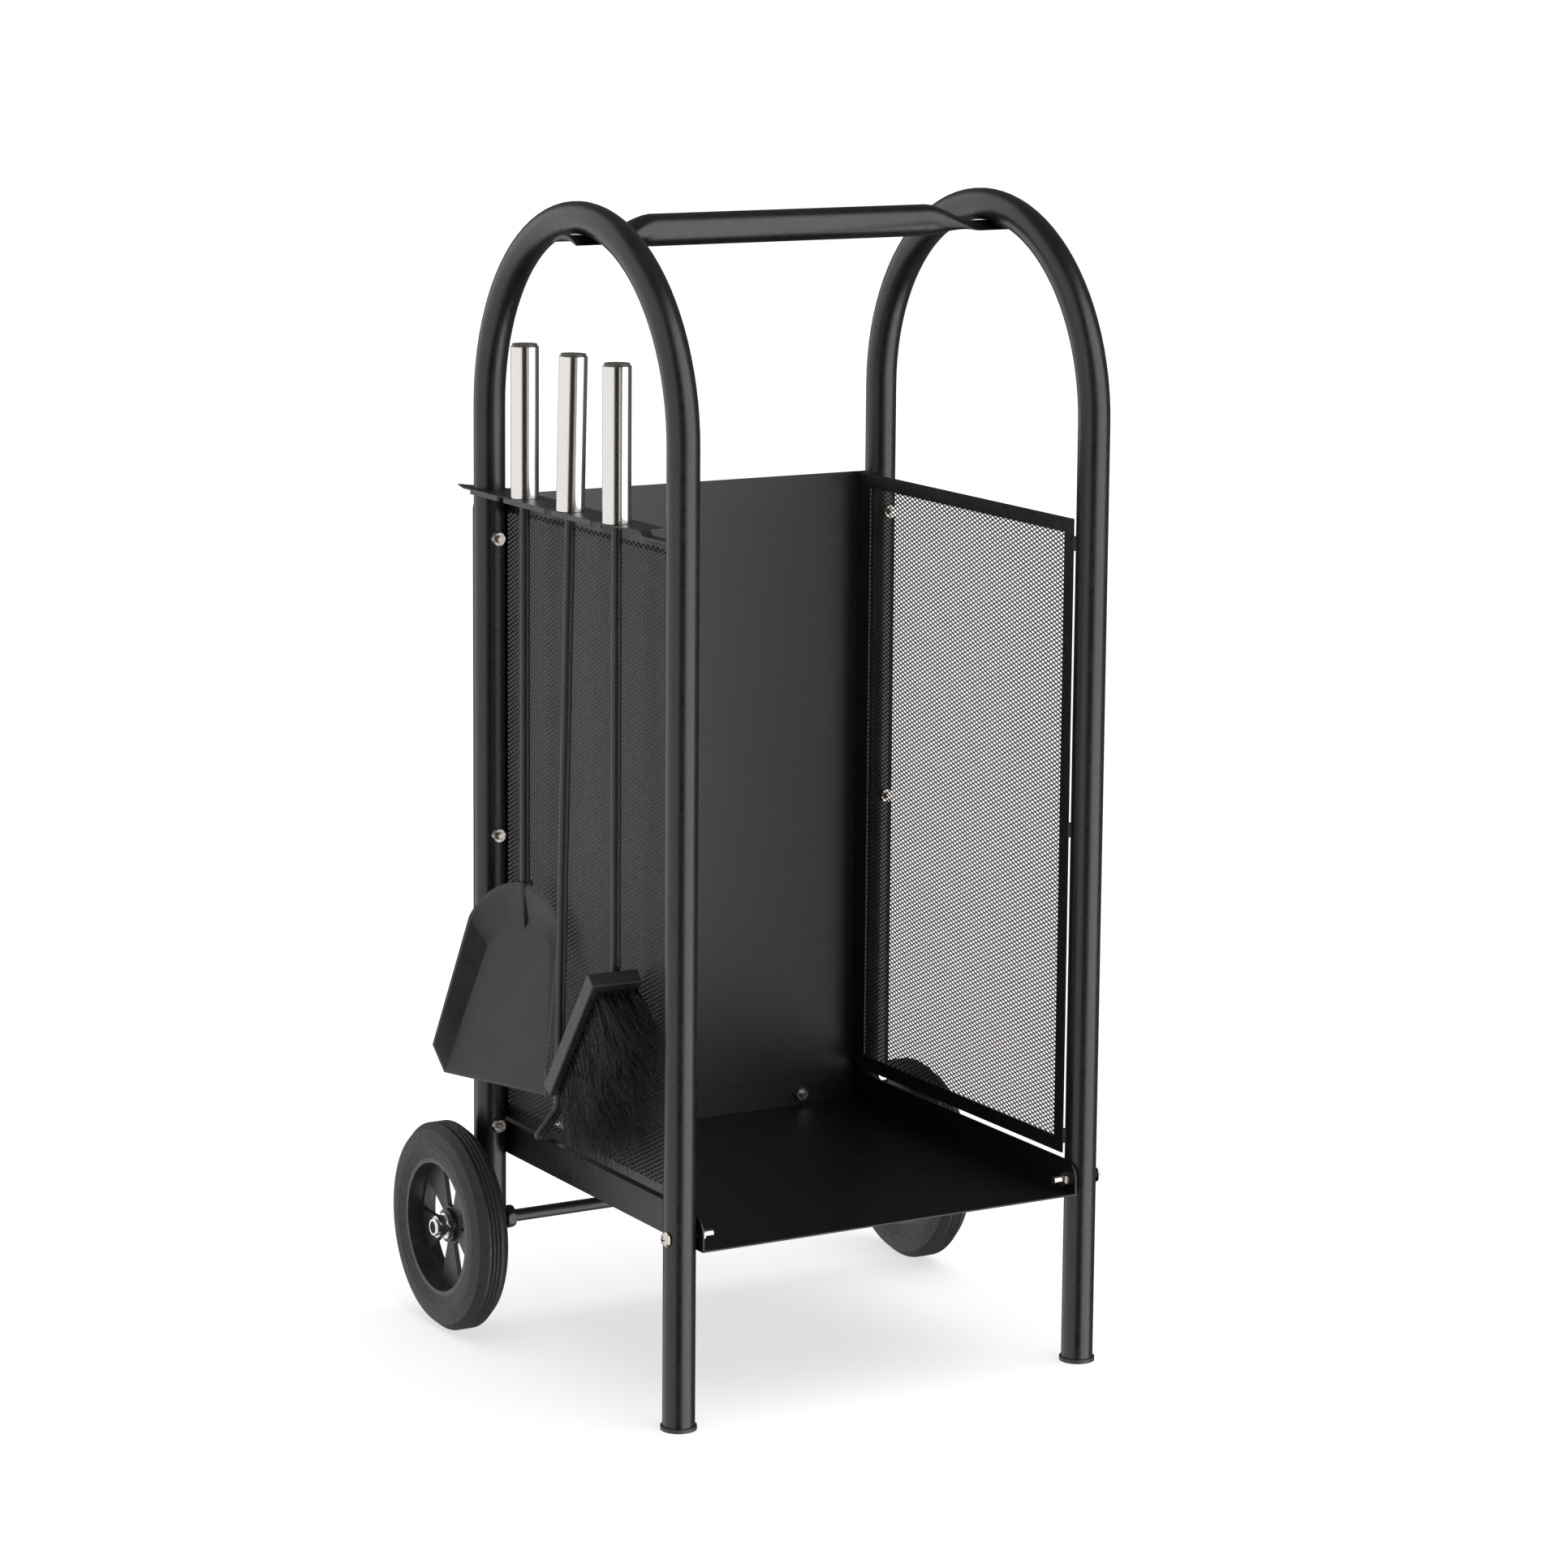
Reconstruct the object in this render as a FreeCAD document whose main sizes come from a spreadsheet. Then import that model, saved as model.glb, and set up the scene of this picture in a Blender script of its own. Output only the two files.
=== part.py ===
import FreeCAD, Part
import math
import operator
import os
import Sketcher

# Wheeled firewood rack with a set of three hearth tools.
# Millimetres. +Z is up, +Y points to the rear (the wheels), +X to the right of someone facing the open front.
# Everything is laid out from the point on the floor midway between the four legs; the last step moves the
# whole rack so that the origin is the middle of the underside of its bounding box.

Vector = FreeCAD.Vector
os.makedirs("parts", exist_ok=True)
doc = FreeCAD.newDocument("LogRack")

DIMENSIONS = [
    # Arches
    ("overall_height", 916, "floor to the top of the arches"),
    ("arch_spacing", 360, "left arch to right arch, centre to centre"),
    ("leg_spacing", 316, "front leg to rear leg, centre to centre, and twice the bend radius"),
    ("tube_diameter", 25, "outside"),
    ("tube_wall", 1.5, "steel tube wall"),
    ("rear_leg_end", 66, "height of the lower end of a rear leg"),
    ("plug_gap", 0.1, "plastic plug to the inside of its tube, all round"),
    ("cap_diameter", 28, "rim of a front foot cap"),
    ("cap_thickness", 3, "cap below the tube end"),
    ("cap_plug_depth", 16, "cap inside the tube"),
    ("leg_plug_thickness", 2, "rear plug below the tube end"),
    ("leg_plug_depth", 8, "rear plug inside the tube"),
    # Handle
    ("handle_rise", 1.5, "handle centre above the underside of the arches"),
    ("handle_overhang", 16, "flattened end beyond the arch centre"),
    ("handle_flat_length", 13, "flattened end on the inner side of the arch centre"),
    ("handle_taper", 46, "length over which the tube is pressed flat"),
    ("handle_sag", 5, "edges of the flattened end below its crest"),
    ("handle_screw_diameter", 5, "shank"),
    ("handle_screw_length", 14, "shank above the head"),
    # Back panel
    ("panel_sheet", 1.2, "back panel"),
    ("panel_top", 672, "height of the upper edge of the back panel and side frames"),
    ("panel_bottom", 139, "height of the lower edge of the back panel and shelf"),
    ("panel_margin", 8, "back panel beyond the leg centres"),
    ("panel_corner", 10, "radius of the upper corners"),
    # Side frames and mesh
    ("side_sheet", 1.5, "side frame border"),
    ("side_bottom", 169, "height of the lower edge of the side frames"),
    ("side_setback", 6, "front edge of a side frame behind the front leg centre"),
    ("side_border", 11.5, "border round the opening, front, top and bottom"),
    ("side_rear_border", 20, "border at the rear"),
    ("mesh_thickness", 1, "expanded metal"),
    ("mesh_overlap", 5, "mesh laid over the border"),
    ("mesh_leg_gap", 0.3, "rear edge of the mesh to the rear leg"),
    ("weld_length", 11, "each bead"),
    ("weld_radius", 2.4, "each bead"),
    ("weld_low", 183, "height of the lowest bead"),
    ("weld_middle", 428, "height of the middle bead"),
    ("weld_high", 653, "height of the highest bead"),
    # Shelf
    ("shelf_sheet", 1.2, "folded tray"),
    ("shelf_flange", 26, "side flanges, over the sheet"),
    ("shelf_rear_flange", 23.5, "rear flange, over the sheet"),
    ("shelf_overhang", 14, "front edge beyond the front leg centres"),
    ("shelf_corner", 14, "cut-back of the upper front corner of a side flange"),
    # Machine screws and nuts of the panels
    ("bolt_diameter", 6, "thread"),
    ("bolt_gap", 0.3, "hole larger than its bolt, on the diameter"),
    ("head_diameter", 12, "domed head"),
    ("head_height", 3.6, "domed head"),
    ("nut_flats", 10, "across flats"),
    ("nut_height", 5, "hexagon nut"),
    ("thread_end", 4, "thread beyond its nut"),
    ("shelf_thread_end", 8, "thread beyond its nut, for the bolts through the front legs"),
    ("panel_bolt_low", 165, "height of the lowest panel bolt"),
    ("panel_bolt_pitch", 238, "between panel bolts"),
    ("shelf_bolt_height", 150, "height of the bolts through the front legs"),
    ("shelf_bolt_setback", -2, "those bolts behind the front leg centre"),
    ("rear_bolt_height", 150, "height of the bolts through the rear flange"),
    ("rear_bolt_offset", 115, "those bolts from the middle"),
    # Tool rail
    ("rail_sheet", 1.2, "slotted rail"),
    ("rail_top", 680, "height of its upper face"),
    ("rail_inner", 14, "inner edge inside the arch centre"),
    ("rail_outer", 17, "outer edge outside the arch centre"),
    ("rail_lip", 3, "turned-down outer edge, below the sheet"),
    ("rail_front", 108, "end of the wide part, in front of the middle"),
    ("rail_front_outer", 9.35, "outer edge at its front end, outside the arch centre"),
    ("rail_shoulder", 61, "start of the taper, in front of the middle"),
    ("rail_tail", 191, "rear point of the rail behind the middle"),
    ("rail_tail_width", 5.7, "width of the rear point"),
    ("rail_drop", 4, "front tab below the rail"),
    ("rail_tab", 9, "width of the front tab"),
    ("slot_width", 11.5, "slot for a tool's rod"),
    ("slot_slant", 16, "mouth of a slot behind its seat"),
    # Axle and wheels
    ("axle_diameter", 10, "solid rod"),
    ("axle_reach", 50, "axle end beyond the arch centre"),
    ("axle_nut_flats", 17, "across flats"),
    ("axle_nut_height", 7, "hexagon part"),
    ("axle_collar", 3, "round locking collar of the outer nut"),
    ("axle_washer", 1.5, "thickness"),
    ("axle_washer_diameter", 21, "outside"),
    ("spacer_diameter", 16, "outside"),
    ("wheel_diameter", 168, "over the tyre"),
    ("wheel_gap", 0.4, "hub to the spacer and to the washer"),
    ("wheel_running_gap", 0.06, "axle to bore, all round"),
    ("tyre_inner_face", 21, "inner side of the tyre beyond the arch centre"),
    ("tyre_width", 31, "over the sidewalls"),
    ("tyre_shoulder", 9, "rounding of the tread's edges, along the axle"),
    ("tyre_crown", 5, "rounding of the tread's edges, towards the axle"),
    ("tyre_groove", 1.2, "depth and half width of a tread groove"),
    ("rim_diameter", 111, "over the flange"),
    ("rim_wall", 4.5, "barrel"),
    ("rim_inset", 3, "rim's faces inside the tyre's"),
    ("web_inset", 13, "web inside the rim's outer face"),
    ("web_thickness", 4, "spoked web"),
    ("hub_diameter", 27, "hub ring"),
    ("hub_recess", 12, "hub's outer end inside the tyre's outer face"),
    ("window_hub_gap", 2.5, "window to the hub"),
    ("window_rim_gap", 2, "window to the barrel"),
    ("window_half_angle", 17, "degrees"),
    # Tools
    ("grip_diameter", 22, "stainless grip"),
    ("grip_length", 118, "stainless grip"),
    ("grip_wall", 1, "grip tube"),
    ("grip_cap_height", 2, "end cap above the grip"),
    ("grip_cap_diameter", 19.6, "end cap"),
    ("rod_diameter", 8, "tool rods"),
    ("rod_tongue", 30, "rod inside its grip"),
    ("tool_clearance", 0.3, "between tools and frame"),
    ("shovel_seat", 90, "shovel behind the middle"),
    ("poker_seat", 9, "poker behind the middle"),
    ("brush_seat", -66, "brush behind the middle"),
    ("shovel_offset", 3.5, "shovel outside the arch centre"),
    ("poker_offset", 6, "poker outside the arch centre"),
    ("brush_offset", 6, "brush outside the arch centre"),
    ("poker_lean", 1.2, "degrees"),
    ("shovel_rod_length", 326, "rod below the rail's upper face"),
    ("pan_turn", 20, "degrees about the rod"),
    ("pan_tilt", 16, "degrees, mouth outwards"),
    ("pan_sheet", 1.2, "pressed steel"),
    ("pan_depth", 12.5, "height of the walls over the floor"),
    ("pan_mouth_drop", 461, "lower edge of the pan below the rail's upper face"),
    ("pan_mouth_offset", 35, "lower edge of the pan outside the rod"),
    ("pan_mouth", 110, "width of the floor at the mouth"),
    ("pan_neck", 70, "width of the floor where the round end starts"),
    ("pan_straight", 106, "length of the floor's straight sides"),
    ("pan_floor", 131, "length of the floor"),
    ("pan_rim_start", 20, "walls cut back from the mouth"),
    ("pan_rim_mouth", 123, "width over the walls at the mouth"),
    ("pan_rim_neck", 98, "width over the walls where the round end starts"),
    ("pan_rim_straight", 125, "end of the walls' straight part"),
    ("pan_rim_length", 159, "end of the walls"),
    ("pan_boss_wide", 12.6, "pressed channel at its upper end, diameter"),
    ("pan_boss_narrow", 4, "pressed channel at its lower end, diameter"),
    ("pan_boss_length", 46, "pressed channel"),
    ("pan_boss_drop", 350, "its lower end below the rail's upper face"),
    ("poker_rod_length", 463, "straight rod below the rail's upper face"),
    ("poker_bend", 14, "bend radius, to the middle of the rod"),
    ("poker_hook_angle", 40, "degrees"),
    ("poker_hook_length", 20, "straight part beyond the bend"),
    ("brush_rod_length", 366, "rod below the rail's upper face"),
    ("brush_width", 42, "brush block"),
    ("brush_thickness", 13, "brush block"),
    ("brush_length", 130, "brush block"),
    ("brush_edge", 0.8, "chamfer of the block's edges"),
    ("brush_tilt", 37, "degrees"),
    ("brush_turn", -2.5, "degrees"),
    ("brush_side", 8, "upper end of the block outside the rod"),
    ("brush_forward", 9.5, "upper end of the block in front of the rod"),
    ("brush_drop", 341, "upper end of the block below the rail's upper face"),
    ("bristle_length", 64, "from the block's face"),
    ("bristle_margin", 3, "block's edge to the tufts"),
    ("bristle_spread", 2, "spread of the tips to each side"),
    ("bristle_flare", 8, "spread of the tips towards the ends"),
    # Position of the box, filled in at the end
    ("origin_x", 0, "middle of the bounding box"),
    ("origin_y", 0, "middle of the bounding box"),
]

sheet = doc.addObject("Spreadsheet::Sheet", "Sizes")
for row, (alias, number, note) in enumerate(DIMENSIONS, start=1):
    sheet.set(f"A{row}", alias)
    sheet.set(f"B{row}", str(number))
    sheet.setAlias(f"B{row}", alias)
    sheet.set(f"C{row}", note)
doc.recompute()


class Size:
    """A dimension worked out from the sheet: its formula and its present value."""

    def __init__(self, formula, value):
        self.formula = formula
        self.value = value

    def __neg__(self):
        return Size(f"(-1 * {self.formula})", -self.value)


def as_size(number):
    return number if isinstance(number, Size) else Size(repr(float(number)), float(number))


def arithmetic(sign, work, swapped=False):
    def method(self, other):
        left, right = (as_size(other), self) if swapped else (self, as_size(other))
        return Size(f"({left.formula} {sign} {right.formula})", work(left.value, right.value))
    return method


for sign, name, work in (("+", "add", operator.add), ("-", "sub", operator.sub),
                         ("*", "mul", operator.mul), ("/", "truediv", operator.truediv)):
    setattr(Size, f"__{name}__", arithmetic(sign, work))
    setattr(Size, f"__r{name}__", arithmetic(sign, work, swapped=True))


def sine(angle):
    return Size(f"sin({angle.formula})", math.sin(math.radians(angle.value)))


def cosine(angle):
    return Size(f"cos({angle.formula})", math.cos(math.radians(angle.value)))


def root(number):
    return Size(f"sqrt({number.formula})", math.sqrt(number.value))


class Sheet:
    """Every alias of the sheet as a Size, such as size.tube_wall."""

    def __getattr__(self, alias):
        return Size(f"Sizes.{alias}", float(sheet.get(alias)))


size = Sheet()
UPRIGHT = FreeCAD.Rotation()
TURNED = {
    "X": FreeCAD.Rotation(Vector(0, 1, 0), 90),
    "Y": FreeCAD.Rotation(Vector(1, 0, 0), -90),
    "Z": UPRIGHT,
}


# ---- Document objects with bound sizes ----

def bind(thing, **sizes):
    for prop, number in sizes.items():
        thing.setExpression(prop, as_size(number).formula)
    return thing


def move(thing, x, y, z, rotation=UPRIGHT):
    thing.Placement = FreeCAD.Placement(Vector(), rotation)
    for axis, number in zip("xyz", (x, y, z)):
        thing.setExpression(f"Placement.Base.{axis}", as_size(number).formula)
    return thing


def new(kind, name):
    return doc.addObject(kind, name)


def cylinder(name, diameter, length, x, y, z, along="Z"):
    """A round bar that starts at x, y, z and runs along an axis."""
    bar = bind(new("Part::Cylinder", name), Radius=as_size(diameter) / 2, Height=length)
    return move(bar, x, y, z, TURNED[along])


def box(name, low, high):
    sides = [b - as_size(a) for a, b in zip(low, map(as_size, high))]
    block = bind(new("Part::Box", name), Length=sides[0], Width=sides[1], Height=sides[2])
    return move(block, *low)


def cut(name, base, *tools):
    result = new("Part::Cut", name)
    result.Base = base
    result.Tool = tools[0] if len(tools) == 1 else fuse(name + "_tools", *tools)
    return result


def fuse(name, *shapes):
    result = new("Part::MultiFuse", name)
    result.Shapes = list(shapes)
    return result


def group(name, *shapes):
    result = new("Part::Compound", name)
    result.Links = list(shapes)
    return result


def pin(sketch, edge, end, x, y):
    """Dimensions one end of an edge from the sketch's origin."""
    for kind, number in (("DistanceX", as_size(x)), ("DistanceY", as_size(y))):
        index = sketch.addConstraint(Sketcher.Constraint(kind, -1, 1, edge, end, number.value))
        name = f"{kind}_{edge}_{end}"
        sketch.renameConstraint(index, name)
        sketch.setExpression(f"Constraints.{name}", number.formula)


def set_radius(sketch, edge, radius):
    index = sketch.addConstraint(Sketcher.Constraint("Radius", edge, radius.value))
    sketch.renameConstraint(index, f"Radius_{edge}")
    sketch.setExpression(f"Constraints.Radius_{edge}", radius.formula)


def new_sketch(body, name, plane, lift=0):
    """A sketch on one of the body's own origin planes, lifted along the plane's normal."""
    sketch = body.newObject("Sketcher::SketchObject", name)
    support = [feature for feature in body.Origin.OriginFeatures if feature.Role == plane + "_Plane"]
    sketch.AttachmentSupport = [(support[0], "")]
    sketch.MapMode = "FlatFace"
    sketch.setExpression("AttachmentOffset.Base.z", as_size(lift).formula)
    return sketch


def centre_of_arc(start, end, radius):
    """Centre of the anticlockwise arc, shorter than a half turn, from start to end."""
    middle = (start + end) * 0.5
    chord = end - start
    away = math.sqrt(max(radius ** 2 - (chord.Length / 2) ** 2, 0))
    return middle + Vector(-chord.y, chord.x, 0).normalize() * away


def draw_outline(sketch, corners):
    """A closed outline, anticlockwise. A corner is (x, y), or (x, y, radius) where the next edge is an arc."""
    first = sketch.GeometryCount
    count = len(corners)
    points = [Vector(as_size(corner[0]).value, as_size(corner[1]).value, 0) for corner in corners]
    for index, corner in enumerate(corners):
        start, end = points[index], points[(index + 1) % count]
        if len(corner) == 2:
            sketch.addGeometry(Part.LineSegment(start, end))
            continue
        centre = centre_of_arc(start, end, corner[2].value)
        angles = [math.atan2(point.y - centre.y, point.x - centre.x) for point in (start, end)]
        circle = Part.Circle(centre, Vector(0, 0, 1), corner[2].value)
        sketch.addGeometry(Part.ArcOfCircle(circle, angles[0], angles[1]))
    for index, corner in enumerate(corners):
        edge = first + index
        sketch.addConstraint(Sketcher.Constraint("Coincident", edge, 2, first + (index + 1) % count, 1))
        pin(sketch, edge, 1, corner[0], corner[1])
        if len(corner) == 3:
            set_radius(sketch, edge, corner[2])


def draw_circle(sketch, x, y, diameter):
    radius = as_size(diameter) / 2
    centre = Vector(as_size(x).value, as_size(y).value, 0)
    edge = sketch.addGeometry(Part.Circle(centre, Vector(0, 0, 1), radius.value))
    pin(sketch, edge, 3, x, y)
    set_radius(sketch, edge, radius)


def prism(name, corners, plane, start, thickness):
    """An outline pressed out of a plane: upwards from XY, to the right from YZ, forwards from XZ."""
    body = new("PartDesign::Body", name)
    sketch = new_sketch(body, name + "_outline", plane, -as_size(start) if plane == "XZ" else start)
    draw_outline(sketch, corners)
    pad = body.newObject("PartDesign::Pad", name + "_pad")
    pad.Profile = sketch
    bind(pad, Length=thickness)
    return body


def pocket(body, name, corners, plane, lift, depth):
    """Cuts an outline through the body, half the depth to each side of the lifted plane."""
    sketch = new_sketch(body, name + "_outline", plane, lift)
    draw_outline(sketch, corners)
    hollow = body.newObject("PartDesign::Pocket", name)
    hollow.Profile = sketch
    hollow.Midplane = True
    return bind(hollow, Length=depth)


def turned(name, corners):
    """An outline of (distance along X, radius) turned about the X axis."""
    body = new("PartDesign::Body", name)
    sketch = new_sketch(body, name + "_outline", "XZ")
    draw_outline(sketch, corners)
    turn = body.newObject("PartDesign::Revolution", name + "_turn")
    turn.Profile = sketch
    turn.ReferenceAxis = (sketch, ["H_Axis"])
    turn.Angle = 360
    return body


# ---- Shared places ----

SIDES = (("left", -1), ("right", 1))
half_arch = size.arch_spacing / 2
half_legs = size.leg_spacing / 2
tube_radius = size.tube_diameter / 2
bore_diameter = size.tube_diameter - 2 * size.tube_wall
arch_underside = size.overall_height - size.tube_diameter
bend_height = size.overall_height - tube_radius - half_legs
wheel_radius = size.wheel_diameter / 2
panel_front = half_legs + tube_radius
panel_rear = panel_front + size.panel_sheet
side_face = half_arch - tube_radius
panel_bolt_heights = [size.panel_bolt_low + size.panel_bolt_pitch * step for step in range(3)]
hole_diameter = size.bolt_diameter + size.bolt_gap
shelf_bolt_y = size.shelf_bolt_setback - half_legs

pieces = {}


def keep(name, thing, x=0, y=0, z=0, rotation=UPRIGHT):
    """Names a finished piece and places it relative to the rack's origin."""
    move(thing, x - size.origin_x, y - size.origin_y, z, rotation)
    thing.Label = name
    pieces[name] = thing
    return thing


# ---- Fasteners, each along +Z with the underside of its head or the seat of its nut at zero ----

DOME_FLATNESS = 1.1  # ball that trims the head, over the ball through the head's rim
RECESS_REACH = 0.26  # half length of a recess arm, in head diameters
RECESS_WIDTH = 0.05  # half width of a recess arm, in head diameters
RECESS_FLOOR = 0.45  # floor of the recess, in head heights from the seat
NUT_BALL = 1.03  # ball that trims a nut's corners, over the ball through its faces' ends


def screw(name, diameter, length, head_diameter, head_height):
    """A machine screw: a domed head below zero with a cross recess, and its shank above zero."""
    disc = cylinder(name + "_disc", head_diameter, head_height, 0, 0, -head_height)
    ball_radius = (head_diameter * head_diameter / 4 + head_height * head_height) / (2 * head_height)
    ball = bind(new("Part::Sphere", name + "_ball"), Radius=ball_radius * DOME_FLATNESS)
    move(ball, 0, 0, ball_radius * DOME_FLATNESS - head_height)
    dome = new("Part::Common", name + "_dome")
    dome.Base = disc
    dome.Tool = ball
    long = head_diameter * RECESS_REACH
    thin = head_diameter * RECESS_WIDTH
    floor_z = -head_height * RECESS_FLOOR
    recess = [box(f"{name}_recess_{turn}", (-wide, -deep, -head_height - 1), (wide, deep, floor_z))
              for turn, wide, deep in (("a", long, thin), ("b", thin, long))]
    head = cut(name + "_head", dome, *recess)
    shank = cylinder(name + "_shank", diameter, length, 0, 0, 0)
    return fuse(name, head, shank)


def hexagon(name, flats, height, hole):
    """A hexagon nut with its corners turned off, from zero up."""
    block = bind(new("Part::Prism", name + "_block"), Circumradius=flats / math.sqrt(3), Height=height)
    block.Polygon = 6
    ball_radius = root(flats * flats / 4 + height * height / 4) * NUT_BALL
    ball = bind(new("Part::Sphere", name + "_ball"), Radius=ball_radius)
    move(ball, 0, 0, height / 2)
    trimmed = new("Part::Common", name + "_trimmed")
    trimmed.Base = block
    trimmed.Tool = ball
    return cut(name, trimmed, cylinder(name + "_hole", hole, height + 2, 0, 0, -1))


def fasteners(name, make, places):
    """Copies of one fastener, each at (x, y, z) and turned to its direction."""
    copies = []
    for index, (x, y, z, rotation) in enumerate(places):
        copies.append(move(make(f"{name}_{index}"), x, y, z, rotation))
    return keep(name, group(name, *copies))


FORWARD = FreeCAD.Rotation(Vector(1, 0, 0), 90)
TO_RIGHT = FreeCAD.Rotation(Vector(0, 1, 0), 90)
TO_LEFT = FreeCAD.Rotation(Vector(0, 1, 0), -90)
INWARD = {"left": TO_RIGHT, "right": TO_LEFT}
OUTWARD = {"left": TO_LEFT, "right": TO_RIGHT}


def panel_nut(name):
    return hexagon(name, size.nut_flats, size.nut_height, size.bolt_diameter)


def panel_screw(length):
    def make(name):
        return screw(name, size.bolt_diameter, length, size.head_diameter, size.head_height)
    return make


# ---- Arches: one tube bent into an inverted U, drilled for its bolts, the axle and the handle screw ----

def arch(name):
    body = new("PartDesign::Body", name + "_tube")
    ring = new_sketch(body, name + "_ring", "XY", size.cap_thickness)
    for diameter in (size.tube_diameter, bore_diameter):
        draw_circle(ring, 0, -half_legs, diameter)
    path = new_sketch(body, name + "_path", "YZ")
    front, rear, bend = -half_legs.value, half_legs.value, bend_height.value
    path.addGeometry(Part.LineSegment(Vector(front, size.cap_thickness.value, 0), Vector(front, bend, 0)))
    bow = Part.Circle(Vector(0, bend, 0), Vector(0, 0, 1), rear)
    path.addGeometry(Part.ArcOfCircle(bow, 0, math.pi))
    path.addGeometry(Part.LineSegment(Vector(rear, bend, 0), Vector(rear, size.rear_leg_end.value, 0)))
    pin(path, 0, 1, -half_legs, size.cap_thickness)
    pin(path, 1, 3, 0, bend_height)
    path.addConstraint(Sketcher.Constraint("Horizontal", 1, 2, 1, 3))
    pin(path, 2, 1, half_legs, bend_height)
    pin(path, 2, 2, half_legs, size.rear_leg_end)
    path.addConstraint(Sketcher.Constraint("Coincident", 0, 2, 1, 2))
    path.addConstraint(Sketcher.Constraint("Coincident", 1, 1, 2, 1))
    pipe = body.newObject("PartDesign::AdditivePipe", name + "_pipe")
    pipe.Profile = ring
    pipe.Spine = (path, [])
    reach = size.tube_diameter + 2
    drills = [cylinder(f"{name}_panel_hole_{step}", hole_diameter, reach, 0, panel_front - reach + 1, height, "Y")
              for step, height in enumerate(panel_bolt_heights)]
    drills.append(cylinder(name + "_shelf_hole", hole_diameter, reach,
                           reach / -2, shelf_bolt_y, size.shelf_bolt_height, "X"))
    drills.append(cylinder(name + "_axle_hole", size.axle_diameter + size.bolt_gap, reach,
                           reach / -2, half_legs, wheel_radius, "X"))
    drills.append(cylinder(name + "_handle_hole", size.handle_screw_diameter, tube_radius,
                           0, 0, arch_underside - size.tube_wall))
    return cut(name, body, *drills)


for side, sign in SIDES:
    keep(f"{side}_arch", arch(f"{side}_arch"), x=half_arch * sign)


# ---- Foot caps under the front legs and plugs in the rear legs ----

def leg_plug(name, head_diameter, head_height, depth):
    """A moulded plug with its head below zero and its hollow stem above zero."""
    head = cylinder(name + "_head", head_diameter, head_height, 0, 0, -head_height)
    stem_diameter = bore_diameter - 2 * size.plug_gap
    stem = cylinder(name + "_stem", stem_diameter, depth, 0, 0, 0)
    hollow = cylinder(name + "_hollow", stem_diameter - 2 * size.tube_wall, depth, 0, 0, 1)
    return cut(name, fuse(name + "_solid", head, stem), hollow)


for side, sign in SIDES:
    name = f"{side}_foot_cap"
    cap = leg_plug(name, size.cap_diameter, size.cap_thickness, size.cap_plug_depth)
    keep(name, cap, half_arch * sign, -half_legs, size.cap_thickness)
    name = f"{side}_leg_plug"
    plug = leg_plug(name, size.tube_diameter, size.leg_plug_thickness, size.leg_plug_depth)
    keep(name, plug, half_arch * sign, half_legs, size.rear_leg_end)


# ---- Handle: a tube pressed flat and cupped at both ends, under the tops of the arches ----

SECTION_POINTS = 32


def handle_section(x, flatness):
    """Closed curve across the handle: a circle at flatness 0, the pressed and cupped end at 1."""
    tube = tube_radius.value
    pressed_half_width = math.pi * tube / 2
    pressed_half_height = size.tube_wall.value
    crest = -size.handle_rise.value - pressed_half_height
    points = []
    for step in range(SECTION_POINTS):
        turn = 2 * math.pi * step / SECTION_POINTS
        half_width = tube + (pressed_half_width - tube) * flatness
        half_height = tube + (pressed_half_height - tube) * flatness
        sag = size.handle_sag.value * flatness * math.cos(turn) ** 2
        points.append(Vector(x, half_width * math.cos(turn), crest * flatness + half_height * math.sin(turn) - sag))
    curve = Part.BSplineCurve()
    curve.interpolate(points, PeriodicFlag=True)
    return Part.Wire([curve.toShape()])


def handle_shape():
    flat_start = (half_arch - size.handle_flat_length).value
    taper = size.handle_taper.value
    end = (half_arch + size.handle_overhang).value
    straight = flat_start - taper
    shape = Part.Face(handle_section(-straight, 0)).extrude(Vector(2 * straight, 0, 0))
    hollow = 2 * straight - 2 * size.tube_wall.value
    shape = shape.cut(Part.makeCylinder(bore_diameter.value / 2, hollow, Vector(-hollow / 2, 0, 0), Vector(1, 0, 0)))
    for sign in (-1, 1):
        steps = (0, 0.25, 0.5, 0.75, 1)
        sections = [handle_section(sign * (straight + taper * step), step ** 2 * (3 - 2 * step)) for step in steps]
        shape = shape.fuse(Part.makeLoft(sections, True, False))
        flat = Part.Face(handle_section(sign * flat_start, 1)).extrude(Vector(sign * (end - flat_start), 0, 0))
        shape = shape.fuse(flat)
    return shape


handle_height = arch_underside + size.handle_rise
handle_crest = -size.handle_rise - 2 * size.tube_wall
handle_tube = new("Part::Feature", "handle_tube")
handle_tube.Shape = handle_shape()
seats = []
for side, sign in SIDES:
    seats.append(cylinder(f"{side}_handle_seat", size.head_diameter, tube_radius,
                          half_arch * sign, 0, handle_crest - tube_radius))
    seats.append(cylinder(f"{side}_handle_bore", size.handle_screw_diameter, tube_radius,
                          half_arch * sign, 0, handle_crest - 1))
keep("handle_bar", cut("handle_bar", handle_tube, *seats), z=handle_height)


def handle_screw(name):
    return screw(name, size.handle_screw_diameter, size.handle_screw_length,
                 size.head_diameter - 1, size.head_height)


fasteners("handle_screws", handle_screw,
          [(half_arch * sign, 0, handle_height + handle_crest, UPRIGHT) for side, sign in SIDES])


# ---- Back panel: flat sheet behind the rear legs, with rounded upper corners ----

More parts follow.
